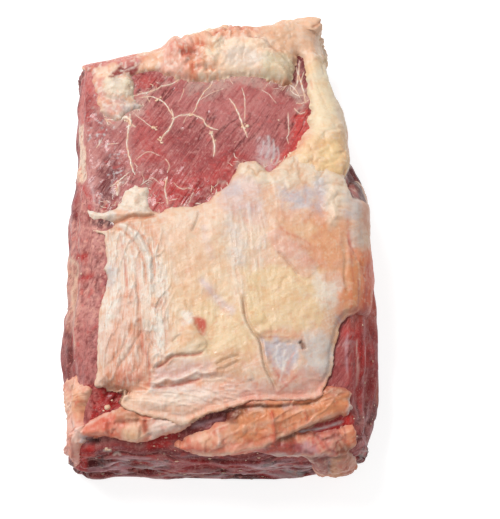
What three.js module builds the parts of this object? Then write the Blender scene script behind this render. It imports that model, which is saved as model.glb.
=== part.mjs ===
// A whole piece of raw cote de boeuf, laid with its fat side up: one core of lean meat with
// three pads of fat on it. Millimetres, +Z up, +X to the right, +Y away from the cut end.
// The origin is under the middle of the piece, on the surface that it lies on.
import * as THREE from "three";

// Driving sizes.
const leanLength = 400;
const leanWidth = 274;
const leanHeight = 100;
const backDrop = 28;
const frontDrop = 8;
const sideDrop = 7;
const capThickness = 11;
const padThickness = 8.5;
const fatEdge = 3;
const fatGap = 0.35;

// The middle of the whole piece, which the fat moves a little off the middle of the lean.
const wholeMiddle = { x: 0.3, y: 3.3 };

// Cells of the surface: over the top, and down each side.
const topColumns = 29;
const topRows = 41;
const wallCells = 10;
const columns = topColumns + 2 * wallCells;
const rows = topRows + 2 * wallCells;

// How long a side is when it is laid flat, from its shoulder down to the base.
const wallLength = 105;

// The lean's outline seen from above. The sides are [y, x], and the two ends [x, y].
const halfWidth = leanWidth / 2;
const halfLength = leanLength / 2;
const leftEdge = [
  [-200, -132], [-178, 10 - halfWidth], [-150, 8 - halfWidth], [-102, -halfWidth], [-58, -136],
  [-20, -135], [30, -134], [48, -129], [100, -129], [165, -130],
];
const rightEdge = [
  [-200, 121], [-176, 131], [-90, halfWidth], [-60, halfWidth - 1], [-40, 133], [0, 129],
  [40, 127], [62, 119], [100, 106], [150, 92], [200, 84],
];
const frontEdge = [
  [-131, 1 - halfLength], [-75, 2 - halfLength], [10, -halfLength], [60, 1 - halfLength],
  [90, 6 - halfLength], [130, 9 - halfLength],
];
const backEdge = [[-130, 161], [-75, 170], [-23, 180], [18, 192], [42, 193], [82, 3 + halfLength]];

// How far each side runs out from its shoulder to the widest line: [y, reach].
const leftReach = [[-200, 28], [-150, 26], [-60, 30], [0, 27], [45, 18], [160, 13]];
const rightReach = [[-200, 26], [-90, 27], [0, 24], [60, 18], [120, 16], [200, 14]];
const frontReach = 40;
const backReach = 14;

// How square the corners are: 1 is a quarter of an ellipse, and less is squarer.
const cornerPower = 0.5;
const nearRightPower = 1.1;

// Cross sections of a side, from the shoulder to the base: [share of the reach, share of the height].
const flankSection = [[0, 1], [0.3, 0.94], [0.62, 0.8], [0.84, 0.6], [0.97, 0.4], [1, 0.22], [0.93, 0.07], [0.82, 0]];
const cutSection = [[0, 1], [0.4, 0.93], [0.76, 0.8], [0.95, 0.64], [1, 0.42], [0.99, 0.22], [0.97, 0.08], [0.93, 0]];

// The fat's outlines, on the surface laid flat: past a shoulder they run down the side.
const fatCapOutline = [
  // over the back end
  [-111, 154], [-108, 178], [-60, 208], [0, 222], [60, 232], [105, 222],
  // down the right side, with the bare notch in it
  [140, 190], [152, 130], [158, 84], [124, 76], [117, 60], [128, 46], [164, 44],
  [182, 0], [180, -48], [140, -66], [112, -69],
  // the free edge of the skin, right, front and left
  [105, -85], [99, -112], [91, -151], [70, -153], [27, -156], [-3, -161], [-28, -168],
  [-50, -165], [-72, -161], [-85, -157], [-88, -147], [-104, -143], [-107, -128],
  [-104, -91], [-102, -55], [-98, -18], [-100, -2], [-107, 4], [-110, 16], [-115, 31],
  // the near edge of the bare lean, with its lump of fat
  [-104, 21], [-89, 24], [-82, 45], [-70, 50], [-60, 44], [-56, 25], [-44, 20], [-26, 23],
  [-10, 26], [0, 38], [12, 52], [21, 64], [35, 65], [41, 54], [52, 56], [63, 67], [71, 77],
  // its right and far edge
  [78, 88], [79, 112], [75, 133], [71, 162], [65, 151], [62, 138], [43, 143], [25, 147],
  [-5, 142], [-23, 141], [-44, 147], [-56, 151], [-75, 147], [-74, 127], [-67, 118],
  [-86, 104], [-102, 109], [-105, 127], [-110, 141],
];
const frontFatOutline = [
  // under the skin's free edge, from left to right
  [-32, -192], [-14, -181], [4, -176], [22, -163], [86, -157], [98, -150], [100, -137],
  [114, -135], [124, -150], [122, -162],
  // the slit of lean that opens to the right
  [104, -170], [84, -173], [72, -178], [86, -182], [104, -183], [120, -178],
  // down the cut and back to the left
  [130, -190], [133, -215], [130, -232], [108, -237], [86, -236], [76, -222], [68, -206],
  [54, -201], [30, -198], [5, -200], [-16, -198],
];
const cornerFatOutline = [
  [-170, -128], [-140, -132], [-122, -144], [-121, -158], [-112, -168], [-98, -172], [-84, -166],
  [-67, -169], [-46, -174], [-32, -180], [-42, -188], [-62, -194], [-84, -193], [-104, -189],
  [-120, -194], [-140, -198], [-166, -182],
];

// Raised folds of the skin over the fat: a path laid flat, its height and its half width.
const folds = [
  { path: [[-106, 12], [-82, 2], [-66, -30], [-62, -70], [-60, -112]], height: 3.4, spread: 7 },
  { path: [[-92, -118], [-66, -96], [-60, -60]], height: 2, spread: 7 },
  { path: [[-60, -112], [-38, -98], [-14, -92], [-18, -74], [-26, -62]], height: 2.8, spread: 7 },
  { path: [[-56, -140], [-20, -128], [14, -124], [50, -134]], height: 2.6, spread: 8 },
  { path: [[14, -40], [22, -78], [48, -140]], height: 2.4, spread: 7 },
  { path: [[104, 30], [104, -20], [110, -66]], height: 2.6, spread: 8 },
];

// Valleys between the muscles: a path laid flat, its depth and its half width.
const seams = [
  // across the front cut
  { path: [[-160, -214], [-90, -208], [-20, -216], [50, -222], [150, -214]], depth: 5, spread: 9 },
  { path: [[-150, -238], [-60, -233], [20, -242], [90, -236], [150, -242]], depth: 4.5, spread: 9 },
  // along the left side
  { path: [[-117, 24], [-116, -40], [-119, -90], [-121, -128]], depth: 2.6, spread: 7 },
  { path: [[-142, 160], [-140, 30], [-137, -40], [-142, -100], [-140, -150]], depth: 5, spread: 9 },
  { path: [[-172, 170], [-168, 40], [-176, -60], [-170, -170]], depth: 4.5, spread: 10 },
  // along the right side
  { path: [[125, -62], [124, -110], [128, -150]], depth: 2.4, spread: 7 },
  { path: [[150, -50], [146, -110], [150, -185]], depth: 5, spread: 9 },
  { path: [[176, 150], [184, 20], [178, -80], [182, -190]], depth: 4.5, spread: 10 },
  // across the back cut
  { path: [[-150, 210], [-60, 220], [30, 236], [120, 242]], depth: 5, spread: 10 },
  { path: [[-160, 236], [-40, 248], [40, 262], [130, 268]], depth: 4.5, spread: 10 },
  // the torn hollow at the near left corner
  { path: [[-110, -162], [-98, -154]], depth: 5, spread: 13 },
];

const clamp = THREE.MathUtils.clamp;
const lerp = THREE.MathUtils.lerp;
const smooth = (low, high, value) => THREE.MathUtils.smoothstep(value, low, high);

// The value at `at` of a smooth line through [place, value] pairs in rising order.
function follow(pairs, at) {
  const last = pairs.length - 2;
  let k = 0;
  while (k < last && at > pairs[k + 1][0]) k += 1;
  const [from, to] = [pairs[k], pairs[k + 1]];
  const share = clamp((at - from[0]) / (to[0] - from[0]), 0, 1);
  const slope = (m) => {
    const [before, after] = [pairs[Math.max(m - 1, 0)], pairs[Math.min(m + 1, pairs.length - 1)]];
    return ((after[1] - before[1]) / (after[0] - before[0])) * (to[0] - from[0]);
  };
  const [s2, s3] = [share ** 2, share ** 3];
  return (
    from[1] * (2 * s3 - 3 * s2 + 1) + slope(k) * (s3 - 2 * s2 + share) +
    to[1] * (3 * s2 - 2 * s3) + slope(k + 1) * (s3 - s2)
  );
}

// The soft rise and fall of a slab of meat, from -1 to 1.
function swell(x, y, wave) {
  const [a, b] = [(2 * Math.PI * x) / wave, (2 * Math.PI * y) / wave];
  return (Math.sin(a + 0.9 * Math.sin(b * 0.7)) + Math.sin(b * 0.86 + 1.3 * Math.sin(a * 0.6) + 2)) / 2;
}

// How high the lean stands above the base: it falls away to the back, the front and the sides.
function leanTop(x, y) {
  const towardsBack = clamp((y - 20) / (halfLength - 20), 0, 1);
  const towardsFront = clamp((-y - 90) / (halfLength - 90), 0, 1);
  const aside = Math.abs(x / halfWidth);
  const fall = backDrop * towardsBack ** 1.6 + frontDrop * towardsFront ** 2 + sideDrop * aside ** 3;
  return leanHeight - fall + 1.5 * swell(x, y, 150);
}

// How many cells a grid position lies past the shoulder: below 0 on the left and in front.
const pastShoulder = (k, count) => Math.min(k - wallCells, 0) + Math.max(k - wallCells - count, 0);
const splineThrough = (pairs) => new THREE.SplineCurve(pairs.map(([a, b]) => new THREE.Vector2(a, b)));
const sideShape = splineThrough(flankSection);
const cutShape = splineThrough(cutSection);

// The place of grid position (i, j), laid flat and in space. The ring is 0 on top and 1 at the base.
function surface(i, j) {
  const across = clamp((i - wallCells) / topColumns, 0, 1);
  const along = clamp((j - wallCells) / topRows, 0, 1);
  const [overX, overY] = [pastShoulder(i, topColumns), pastShoulder(j, topRows)];
  const ring = Math.max(Math.abs(overX), Math.abs(overY)) / wallCells;
  const turn = Math.atan2(Math.abs(overY), Math.abs(overX));

  const roughX = lerp(-100, 100, across);
  const y0 = lerp(follow(frontEdge, roughX) + frontReach, follow(backEdge, roughX) - backReach, along);
  const [outLeft, outRight] = [follow(leftReach, y0), follow(rightReach, y0)];
  const x0 = lerp(follow(leftEdge, y0) + outLeft, follow(rightEdge, y0) - outRight, across);
  const power = overX > 0 && overY < 0 ? nearRightPower : cornerPower;
  const outX = Math.sign(overX) * (overX < 0 ? outLeft : outRight) * Math.cos(turn) ** power;
  const outY = Math.sign(overY) * (overY < 0 ? frontReach : backReach) * Math.sin(turn) ** power;

  const onEnd = ring > 0 ? Math.sin(turn) ** 2 : 0;
  const section = sideShape.getPoint(ring).lerp(cutShape.getPoint(ring), onEnd);
  const flat = new THREE.Vector2(
    x0 + Math.sign(overX) * wallLength * (Math.abs(overX) / wallCells),
    y0 + Math.sign(overY) * wallLength * (Math.abs(overY) / wallCells),
  );
  const height = leanTop(x0, y0) * Math.max(section.y, 0);
  const point = new THREE.Vector3(x0 + outX * section.x, y0 + outY * section.x, height);
  return { flat, point, ring };
}

// The outward direction of the surface at (i, j).
function outward(i, j) {
  const step = 0.4;
  const at = (a, b) => surface(clamp(a, 0, columns), clamp(b, 0, rows)).point;
  const alongI = at(i + step, j).sub(at(i - step, j));
  const alongJ = at(i, j + step).sub(at(i, j - step));
  return alongI.cross(alongJ).normalize();
}

// A closed smooth outline, and the distance from it: negative inside.
function outlinePoints(corners) {
  const curve = new THREE.CatmullRomCurve3(corners.map(([x, y]) => new THREE.Vector3(x, y, 0)), true, "centripetal");
  return curve.getPoints(corners.length * 4).map((p) => new THREE.Vector2(p.x, p.y));
}

function distanceToPath(p, path) {
  let nearest = Infinity;
  for (let k = 0; k + 1 < path.length; k += 1) {
    const [a, b] = [path[k], path[k + 1]];
    const [abX, abY] = [b.x - a.x, b.y - a.y];
    const share = clamp(((p.x - a.x) * abX + (p.y - a.y) * abY) / (abX * abX + abY * abY || 1), 0, 1);
    nearest = Math.min(nearest, Math.hypot(p.x - a.x - share * abX, p.y - a.y - share * abY));
  }
  return nearest;
}

function outsideOf(p, outline) {
  let inside = false;
  for (let k = 0; k + 1 < outline.length; k += 1) {
    const [a, b] = [outline[k], outline[k + 1]];
    if (a.y > p.y !== b.y > p.y && p.x < a.x + ((p.y - a.y) / (b.y - a.y)) * (b.x - a.x)) inside = !inside;
  }
  return (inside ? -1 : 1) * distanceToPath(p, outline);
}

// Folds or seams as smooth lines, and how far they raise or sink the surface at a point.
function smoothLines(lines) {
  return lines.map(({ path, height, depth, spread }) => {
    return { path: splineThrough(path).getPoints(path.length * 4), height: height ?? -depth, spread };
  });
}

const bell = (distance, spread) => Math.exp(-((distance / spread) ** 2));
const raised = (lines, p) =>
  lines.reduce((sum, { path, height, spread }) => sum + height * bell(distanceToPath(p, path), spread), 0);
const foldLines = smoothLines(folds);
const seamLines = smoothLines(seams);

// The lean's surface with the valleys between its muscles, which end above the flat base.
function leanPoint(i, j) {
  const { flat, point, ring } = surface(i, j);
  const relief = raised(seamLines, flat) + 1.6 * swell(flat.x, flat.y + 20, 64) * smooth(0.05, 0.3, ring);
  const shifted = point.addScaledVector(outward(i, j), relief * (1 - smooth(0.84, 1, ring)));
  return shifted.setZ(ring < 1 ? Math.max(shifted.z, 0.5) : 0);
}

// The surface as vertices {i, j} and triangles of vertex numbers.
function gridOfCells() {
  const vertices = [];
  const triangles = [];
  for (let j = 0; j <= rows; j += 1) {
    for (let i = 0; i <= columns; i += 1) vertices.push({ i, j });
  }
  for (let j = 0; j < rows; j += 1) {
    for (let i = 0; i < columns; i += 1) {
      const corner = j * (columns + 1) + i;
      const [a, b, c, d] = [corner, corner + 1, corner + columns + 2, corner + columns + 1];
      const leaning = i < columns / 2 === j < rows / 2;
      triangles.push(...(leaning ? [[a, b, c], [a, c, d]] : [[a, b, d], [b, c, d]]));
    }
  }
  return { vertices, triangles };
}

// Moves vertices near an outline onto it and splits the triangles that it still crosses, so that
// it runs along edges. Each vertex keeps under `name` its distance outside the outline.
function cutAlong(grid, name, outline) {
  const { vertices } = grid;
  const field = (v) => outsideOf(surface(v.i, v.j).flat, outline);
  vertices.forEach((v) => (v[name] = field(v)));
  const snapShare = 0.3;
  const movable = (v) => v.i > 0 && v.i < columns && v.j > 0 && v.j < rows && !v.fixed;
  const crossing = (a, b) => a[name] * b[name] < 0;
  for (const [p, q, r] of grid.triangles) {
    for (const [from, to] of [[p, q], [q, r], [r, p], [q, p], [r, q], [p, r]]) {
      const [a, b] = [vertices[from], vertices[to]];
      if (!crossing(a, b) || !movable(a)) continue;
      const share = a[name] / (a[name] - b[name]);
      if (share > snapShare) continue;
      [a.i, a.j] = [lerp(a.i, b.i, share), lerp(a.j, b.j, share)];
      [a[name], a.fixed] = [0, true];
    }
  }
  const middles = new Map();
  const middle = (from, to) => {
    const key = Math.min(from, to) + "_" + Math.max(from, to);
    if (!middles.has(key)) {
      const [a, b] = [vertices[from], vertices[to]];
      const share = clamp(a[name] / (a[name] - b[name]), 0.12, 0.88);
      const made = { i: lerp(a.i, b.i, share), j: lerp(a.j, b.j, share), fixed: true };
      for (const other of Object.keys(a)) {
        if (other !== "i" && other !== "j" && other !== "fixed") made[other] = lerp(a[other], b[other], share);
      }
      made[name] = 0;
      middles.set(key, vertices.push(made) - 1);
    }
    return middles.get(key);
  };
  const pieces = [];
  for (const triangle of grid.triangles) {
    const turns = [0, 1, 2].map((k) => [triangle[k], triangle[(k + 1) % 3], triangle[(k + 2) % 3]]);
    const cut = (a, b) => crossing(vertices[a], vertices[b]);
    const alone = turns.find(([a, b, c]) => cut(a, b) && cut(c, a));
    const split = turns.find(([a, b, c]) => cut(b, c) && !cut(a, b) && !cut(c, a));
    if (alone) {
      const [a, b, c] = alone;
      const [m, n] = [middle(a, b), middle(c, a)];
      pieces.push([a, m, n], [m, b, c], [m, c, n]);
    } else if (split) {
      const [a, b, c] = split;
      const m = middle(b, c);
      pieces.push([a, b, m], [a, m, c]);
    } else {
      pieces.push(triangle);
    }
  }
  grid.triangles = pieces;
}

const covers = (grid, name) => (t) =>
  t.every((k) => grid.vertices[k][name] <= 0) && t.some((k) => grid.vertices[k][name] < 0);

// The directed border edges of a set of triangles.
function borderOf(triangles) {
  const edges = new Map();
  for (const [a, b, c] of triangles) {
    for (const [from, to] of [[a, b], [b, c], [c, a]]) edges.set(from + "_" + to, [from, to]);
  }
  return [...edges.values()].filter(([from, to]) => !edges.has(to + "_" + from));
}

function meshOf(name, points, triangles, material) {
  const used = [...new Set(triangles.flat())];
  const place = new Map(used.map((k, order) => [k, order]));
  const geometry = new THREE.BufferGeometry();
  geometry.setAttribute("position", new THREE.Float32BufferAttribute(used.flatMap((k) => points[k].toArray()), 3));
  geometry.setIndex(triangles.flat().map((k) => place.get(k)));
  geometry.computeVertexNormals();
  const mesh = new THREE.Mesh(geometry, material);
  mesh.name = name;
  return mesh;
}

// The lean: the whole surface, closed by a flat base under its border.
function leanMesh(grid, points, material) {
  const border = new Map(borderOf(grid.triangles));
  const ring = [border.keys().next().value];
  while (border.get(ring.at(-1)) !== ring[0]) ring.push(border.get(ring.at(-1)));
  const flatRing = ring.map((k) => new THREE.Vector2(points[k].x, points[k].y));
  const base = THREE.ShapeUtils.triangulateShape(flatRing, []).map(([a, b, c]) => [ring[c], ring[b], ring[a]]);
  return meshOf("lean", points, [...grid.triangles, ...base], material);
}

// A pad of fat: the part of the surface inside an outline, thickened outwards.
function fatMesh(name, grid, points, normals, depth, material) {
  const top = grid.triangles.filter(covers(grid, name));
  const count = points.length;
  const both = [
    ...points.map((p, k) => p.clone().addScaledVector(normals[k], depth(grid.vertices[k], name))),
    ...points.map((p, k) => p.clone().addScaledVector(normals[k], fatGap)),
  ];
  const under = top.map(([a, b, c]) => [c + count, b + count, a + count]);
  const rim = borderOf(top).flatMap(([a, b]) => [[a, a + count, b], [b, a + count, b + count]]);
  return meshOf(name, both, [...top, ...under, ...rim], material);
}

// Thickness of the big cap: rounded at its edge, lumpy round the bare lean, folded in front, thin
// where it hangs down the near right side, and with a twisted tip at the back right corner.
const capRounding = 9;
const twistedTip = { x: 88, y: 209, height: 8, spread: 13 };

function capDepth(vertex) {
  const { flat, ring } = surface(vertex.i, vertex.j);
  const inside = Math.max(-vertex.fat_cap, 0);
  const body = 1 - Math.exp(-inside / capRounding);
  const beyondSkin = smooth(10, 60, flat.y);
  const hanging = smooth(0.1, 0.5, ring) * (1 - beyondSkin);
  const lumps = 2.2 * swell(flat.x + 11, flat.y, 34) * beyondSkin + 0.9 * swell(flat.x, flat.y + 7, 52);
  const plain = (capThickness - fatEdge + lumps) * body * (1 - 0.6 * hanging);
  const toTip = Math.hypot(flat.x - twistedTip.x, flat.y - twistedTip.y);
  const tip = twistedTip.height * bell(toTip, twistedTip.spread);
  return fatEdge + plain + tip + raised(foldLines, flat) * smooth(0, 6, inside);
}

// Thickness of the small pads: rounded at the edge and lumpy all over.
const padRounding = 6;

function padDepth(vertex, name) {
  const { flat } = surface(vertex.i, vertex.j);
  const body = 1 - Math.exp(-Math.max(-vertex[name], 0) / padRounding);
  return fatEdge + (padThickness - fatEdge + 1.6 * swell(flat.x, flat.y, 30)) * body;
}

const leanMaterial = new THREE.MeshStandardMaterial({ color: 0x8f2f35, roughness: 0.42, metalness: 0 });
const capMaterial = new THREE.MeshStandardMaterial({ color: 0xf0cda6, roughness: 0.45, metalness: 0 });
const padMaterial = new THREE.MeshStandardMaterial({ color: 0xe3a888, roughness: 0.45, metalness: 0 });

const grid = gridOfCells();
cutAlong(grid, "fat_cap", outlinePoints(fatCapOutline));
cutAlong(grid, "front_fat", outlinePoints(frontFatOutline));
cutAlong(grid, "corner_fat", outlinePoints(cornerFatOutline));

const points = grid.vertices.map(({ i, j }) => leanPoint(i, j));
const normals = grid.vertices.map(({ i, j }) => outward(i, j));

const group = new THREE.Group();
group.name = "cote_de_boeuf";
group.position.set(-wholeMiddle.x, -wholeMiddle.y, 0);
group.add(
  leanMesh(grid, points, leanMaterial),
  fatMesh("fat_cap", grid, points, normals, capDepth, capMaterial),
  fatMesh("front_fat", grid, points, normals, padDepth, padMaterial),
  fatMesh("corner_fat", grid, points, normals, padDepth, padMaterial),
);

export default group;
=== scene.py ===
import bpy
import math
import numpy as np
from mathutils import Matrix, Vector
from mathutils.geometry import tessellate_polygon
from mathutils.kdtree import KDTree


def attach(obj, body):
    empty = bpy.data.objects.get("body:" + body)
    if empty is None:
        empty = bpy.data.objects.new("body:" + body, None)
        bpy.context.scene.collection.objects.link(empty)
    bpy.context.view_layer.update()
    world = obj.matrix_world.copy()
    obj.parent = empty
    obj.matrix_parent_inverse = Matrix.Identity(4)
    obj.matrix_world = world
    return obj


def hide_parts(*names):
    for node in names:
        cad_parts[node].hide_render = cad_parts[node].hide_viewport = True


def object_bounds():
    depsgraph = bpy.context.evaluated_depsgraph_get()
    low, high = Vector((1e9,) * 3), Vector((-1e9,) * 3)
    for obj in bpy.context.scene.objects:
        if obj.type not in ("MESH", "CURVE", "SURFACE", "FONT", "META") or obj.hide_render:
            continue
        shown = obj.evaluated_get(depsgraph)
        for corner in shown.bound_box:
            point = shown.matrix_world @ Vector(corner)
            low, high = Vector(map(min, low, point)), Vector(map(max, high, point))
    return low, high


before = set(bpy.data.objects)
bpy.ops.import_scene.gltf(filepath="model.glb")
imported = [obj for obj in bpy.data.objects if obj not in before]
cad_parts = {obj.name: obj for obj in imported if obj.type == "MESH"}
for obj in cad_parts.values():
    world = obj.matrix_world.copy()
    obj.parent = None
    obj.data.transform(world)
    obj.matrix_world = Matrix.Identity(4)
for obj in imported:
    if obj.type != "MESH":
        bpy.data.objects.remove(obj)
cadLow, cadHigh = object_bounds()
mm = 0.001

# The camera of the photo. Places in the picture are written in its pixels, as "x,y x,y".
photo = {"width": 500, "height": 519, "elevation": 72, "lens": 120, "sensor": 36,
         "pixelsPerMm": 1.154, "aim": (27.0, -19.8, 60)}

# The slab of meat as the frame has it, in mm: a top, and four walls that roll over its shoulders.
slab = {
    "height": 100, "halfWidth": 137, "halfLength": 200, "backDrop": 28, "frontDrop": 8, "sideDrop": 7,
    "topColumns": 29, "topRows": 41, "wallCells": 10, "wallLength": 105, "middle": (0.3, 3.3),
    "frontReach": 40, "backReach": 14, "cornerPower": 0.5, "nearRightPower": 1.1,
    "leftEdge": [(-200, -132), (-178, -127), (-150, -129), (-102, -137), (-58, -136), (-20, -135),
                 (30, -134), (48, -129), (100, -129), (165, -130)],
    "rightEdge": [(-200, 121), (-176, 131), (-90, 137), (-60, 136), (-40, 133), (0, 129), (40, 127),
                  (62, 119), (100, 106), (150, 92), (200, 84)],
    "frontEdge": [(-131, -199), (-75, -198), (10, -200), (60, -199), (90, -194), (130, -191)],
    "backEdge": [(-130, 161), (-75, 170), (-23, 180), (18, 192), (42, 193), (82, 203)],
    "leftReach": [(-200, 28), (-150, 26), (-60, 30), (0, 27), (45, 18), (160, 13)],
    "rightReach": [(-200, 26), (-90, 27), (0, 24), (60, 18), (120, 16), (200, 14)],
    "flankSection": [(0, 1), (0.3, 0.94), (0.62, 0.8), (0.84, 0.6), (0.97, 0.4), (1, 0.22), (0.93, 0.07),
                     (0.82, 0)],
    "cutSection": [(0, 1), (0.4, 0.93), (0.76, 0.8), (0.95, 0.64), (1, 0.42), (0.99, 0.22), (0.97, 0.08),
                   (0.93, 0)],
    "baseInset": 0.985, "baseHeight": 1.2,
    "waveSize": 150, "waveHeight": 1.5, "reliefSize": 64, "reliefHeight": 1.6,
}
# Valleys between the muscles, on the surface laid flat: path, depth and half width.
seams = [
    ([(-160, -214), (-90, -208), (-20, -216), (50, -222), (150, -214)], 5, 9),
    ([(-150, -238), (-60, -233), (20, -242), (90, -236), (150, -242)], 4.5, 9),
    ([(-117, 24), (-116, -40), (-119, -90), (-121, -128)], 2.6, 7),
    ([(-142, 160), (-140, 30), (-137, -40), (-142, -100), (-140, -150)], 5, 9),
    ([(-172, 170), (-168, 40), (-176, -60), (-170, -170)], 4.5, 10),
    ([(125, -62), (124, -110), (128, -150)], 2.4, 7),
    ([(150, -50), (146, -110), (150, -185)], 5, 9),
    ([(176, 150), (184, 20), (178, -80), (182, -190)], 4.5, 10),
    ([(-150, 210), (-60, 220), (30, 236), (120, 242)], 5, 10),
    ([(-160, 236), (-40, 248), (40, 262), (130, 268)], 4.5, 10),
    ([(-110, -162), (-98, -154)], 5, 13),
]


def smooth(low, high, value):
    share = np.clip((value - low) / (high - low), 0, 1)
    return share * share * (3 - 2 * share)


def mixed(a, b, share):
    return a + (b - a) * share


# Seeded noise on the surface laid flat, from -1 to 1.
lattice = np.random.RandomState(4).rand(256, 256) * 2 - 1


def noise(flat, size, seed=0, stretch=1.0):
    u = flat[:, 0] / size + seed * 17.31
    v = flat[:, 1] / (size * stretch) + seed * 31.77
    i, j = np.floor(u).astype(int), np.floor(v).astype(int)
    f, g = u - i, v - j
    f, g = f * f * (3 - 2 * f), g * g * (3 - 2 * g)
    at = lambda a, b: lattice[(j + b) % 256, (i + a) % 256]
    return mixed(mixed(at(0, 0), at(1, 0), f), mixed(at(0, 1), at(1, 1), f), g)


def layered(flat, size, seed=0, octaves=3, stretch=1.0):
    total = sum(noise(flat, size / 2 ** k, seed + k, stretch) / 1.8 ** k for k in range(octaves))
    return total / 1.4


def turned(flat, degrees):
    a = math.radians(degrees)
    return flat @ np.array([[math.cos(a), -math.sin(a)], [math.sin(a), math.cos(a)]])


# The chart: from grid cells to the surface, laid flat and in space.
def follow(pairs, at):
    x, v = np.array(pairs, float).T
    k = np.clip(np.searchsorted(x, at, side="left") - 1, 0, len(x) - 2)
    span = x[k + 1] - x[k]
    s = np.clip((at - x[k]) / span, 0, 1)
    before = np.maximum(np.arange(len(x)) - 1, 0)
    after = np.minimum(np.arange(len(x)) + 1, len(x) - 1)
    slope = (v[after] - v[before]) / (x[after] - x[before])
    return (v[k] * (2 * s**3 - 3 * s**2 + 1) + slope[k] * span * (s**3 - 2 * s**2 + s)
            + v[k + 1] * (3 * s**2 - 2 * s**3) + slope[k + 1] * span * (s**3 - s**2))


def along(points, t):
    points = np.array(points, float)
    last = len(points) - 1
    at = np.clip(t, 0, 1) * last
    k = np.minimum(np.floor(at).astype(int), last - 1)
    w = (at - k)[..., None]
    a, b, c, d = (points[np.clip(k + n, 0, last)] for n in (-1, 0, 1, 2))
    bend, twist = a - 2.5 * b + 2 * c - d / 2, 1.5 * (b - c) + (d - a) / 2
    return b + (c - a) / 2 * w + bend * w**2 + twist * w**3


def swell(x, y, wave):
    a, b = 2 * math.pi * x / wave, 2 * math.pi * y / wave
    return (np.sin(a + 0.9 * np.sin(b * 0.7)) + np.sin(b * 0.86 + 1.3 * np.sin(a * 0.6) + 2)) / 2


def leanTop(x, y):
    towardsBack = np.clip((y - 20) / (slab["halfLength"] - 20), 0, 1)
    towardsFront = np.clip((-y - 90) / (slab["halfLength"] - 90), 0, 1)
    fall = slab["backDrop"] * towardsBack**1.6 + slab["frontDrop"] * towardsFront**2
    fall = fall + slab["sideDrop"] * np.abs(x / slab["halfWidth"]) ** 3
    return slab["height"] - fall + slab["waveHeight"] * swell(x, y, slab["waveSize"])


def surface(i, j):
    cells = slab["wallCells"]
    across = np.clip((i - cells) / slab["topColumns"], 0, 1)
    lengthwise = np.clip((j - cells) / slab["topRows"], 0, 1)
    overX = np.minimum(i - cells, 0) + np.maximum(i - cells - slab["topColumns"], 0)
    overY = np.minimum(j - cells, 0) + np.maximum(j - cells - slab["topRows"], 0)
    ring = np.maximum(np.abs(overX), np.abs(overY)) / cells
    turn = np.arctan2(np.abs(overY), np.abs(overX))
    rough = -100 + 200 * across
    y0 = mixed(follow(slab["frontEdge"], rough) + slab["frontReach"],
               follow(slab["backEdge"], rough) - slab["backReach"], lengthwise)
    outLeft, outRight = follow(slab["leftReach"], y0), follow(slab["rightReach"], y0)
    x0 = mixed(follow(slab["leftEdge"], y0) + outLeft, follow(slab["rightEdge"], y0) - outRight, across)
    power = np.where((overX > 0) & (overY < 0), slab["nearRightPower"], slab["cornerPower"])
    outX = np.sign(overX) * np.where(overX < 0, outLeft, outRight) * np.maximum(np.cos(turn), 0) ** power
    reachY = np.where(overY < 0, slab["frontReach"], slab["backReach"])
    outY = np.sign(overY) * reachY * np.sin(turn) ** power
    onEnd = np.where(ring > 0, np.sin(turn) ** 2, 0)[..., None]
    section = mixed(along(slab["flankSection"], ring), along(slab["cutSection"], ring), onEnd)
    wall = slab["wallLength"] / cells
    flat = np.stack([x0 + wall * overX, y0 + wall * overY], -1)
    height = leanTop(x0, y0) * np.maximum(section[..., 1], 0)
    out, (middleX, middleY) = section[..., 0], slab["middle"]
    point = np.stack([x0 + outX * out - middleX, y0 + outY * out - middleY, height], -1)
    return flat, point, ring


def lineThrough(points, steps=4, closed=False):
    points = np.array(points, float)
    if closed:
        points = np.vstack([points, points[:1]])
    return along(points, np.linspace(0, 1, (len(points) - 1) * steps + 1))


# For the flat places near a path: which ones, how far off, how far along (0 to 1) and on which side.
def nearPath(flat, path, reach):
    low, high = path.min(0) - reach, path.max(0) + reach
    near = np.nonzero(np.all((flat >= low) & (flat <= high), axis=1))[0]
    places = flat[near]
    best, share, side = np.full(len(near), 1e9), np.zeros(len(near)), np.ones(len(near))
    steps = np.diff(path, axis=0)
    lengths = np.hypot(steps[:, 0], steps[:, 1])
    start = np.concatenate([[0], np.cumsum(lengths)])
    for k, step in enumerate(steps):
        if lengths[k] < 1e-6:
            continue
        offset = places - path[k]
        t = np.clip(offset @ step / lengths[k] ** 2, 0, 1)
        away = offset - t[:, None] * step
        distance = np.hypot(away[:, 0], away[:, 1])
        closer = distance < best
        best[closer] = distance[closer]
        share[closer] = ((start[k] + t * lengths[k]) / start[-1])[closer]
        side[closer] = np.where(step[0] * offset[:, 1] - step[1] * offset[:, 0] > 0, 1, -1)[closer]
    keep = best < reach
    return near[keep], best[keep], share[keep], side[keep]


def inside(flat, loop):
    result = np.zeros(len(flat), bool)
    x, y = flat[:, 0], flat[:, 1]
    for a, b in zip(loop[:-1], loop[1:]):
        if a[1] == b[1]:
            continue
        crosses = (a[1] > y) != (b[1] > y)
        result ^= crosses & (x < a[0] + (y - a[1]) * (b[0] - a[0]) / (b[1] - a[1]))
    return result


# Distance outside a closed loop, negative inside, for all flat places. Past the reach it is only +-reach.
def outsideOf(flat, loop, reach):
    result = np.full(len(flat), float(reach))
    near, distance, share, side = nearPath(flat, loop, reach)
    result[near] = distance
    low, high = loop.min(0), loop.max(0)
    boxed = np.nonzero(np.all((flat >= low) & (flat <= high), axis=1))[0]
    within = boxed[inside(flat[boxed], loop)]
    result[within] *= -1
    return result


seamLines = [(lineThrough(path), depth, spread) for path, depth, spread in seams]


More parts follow.
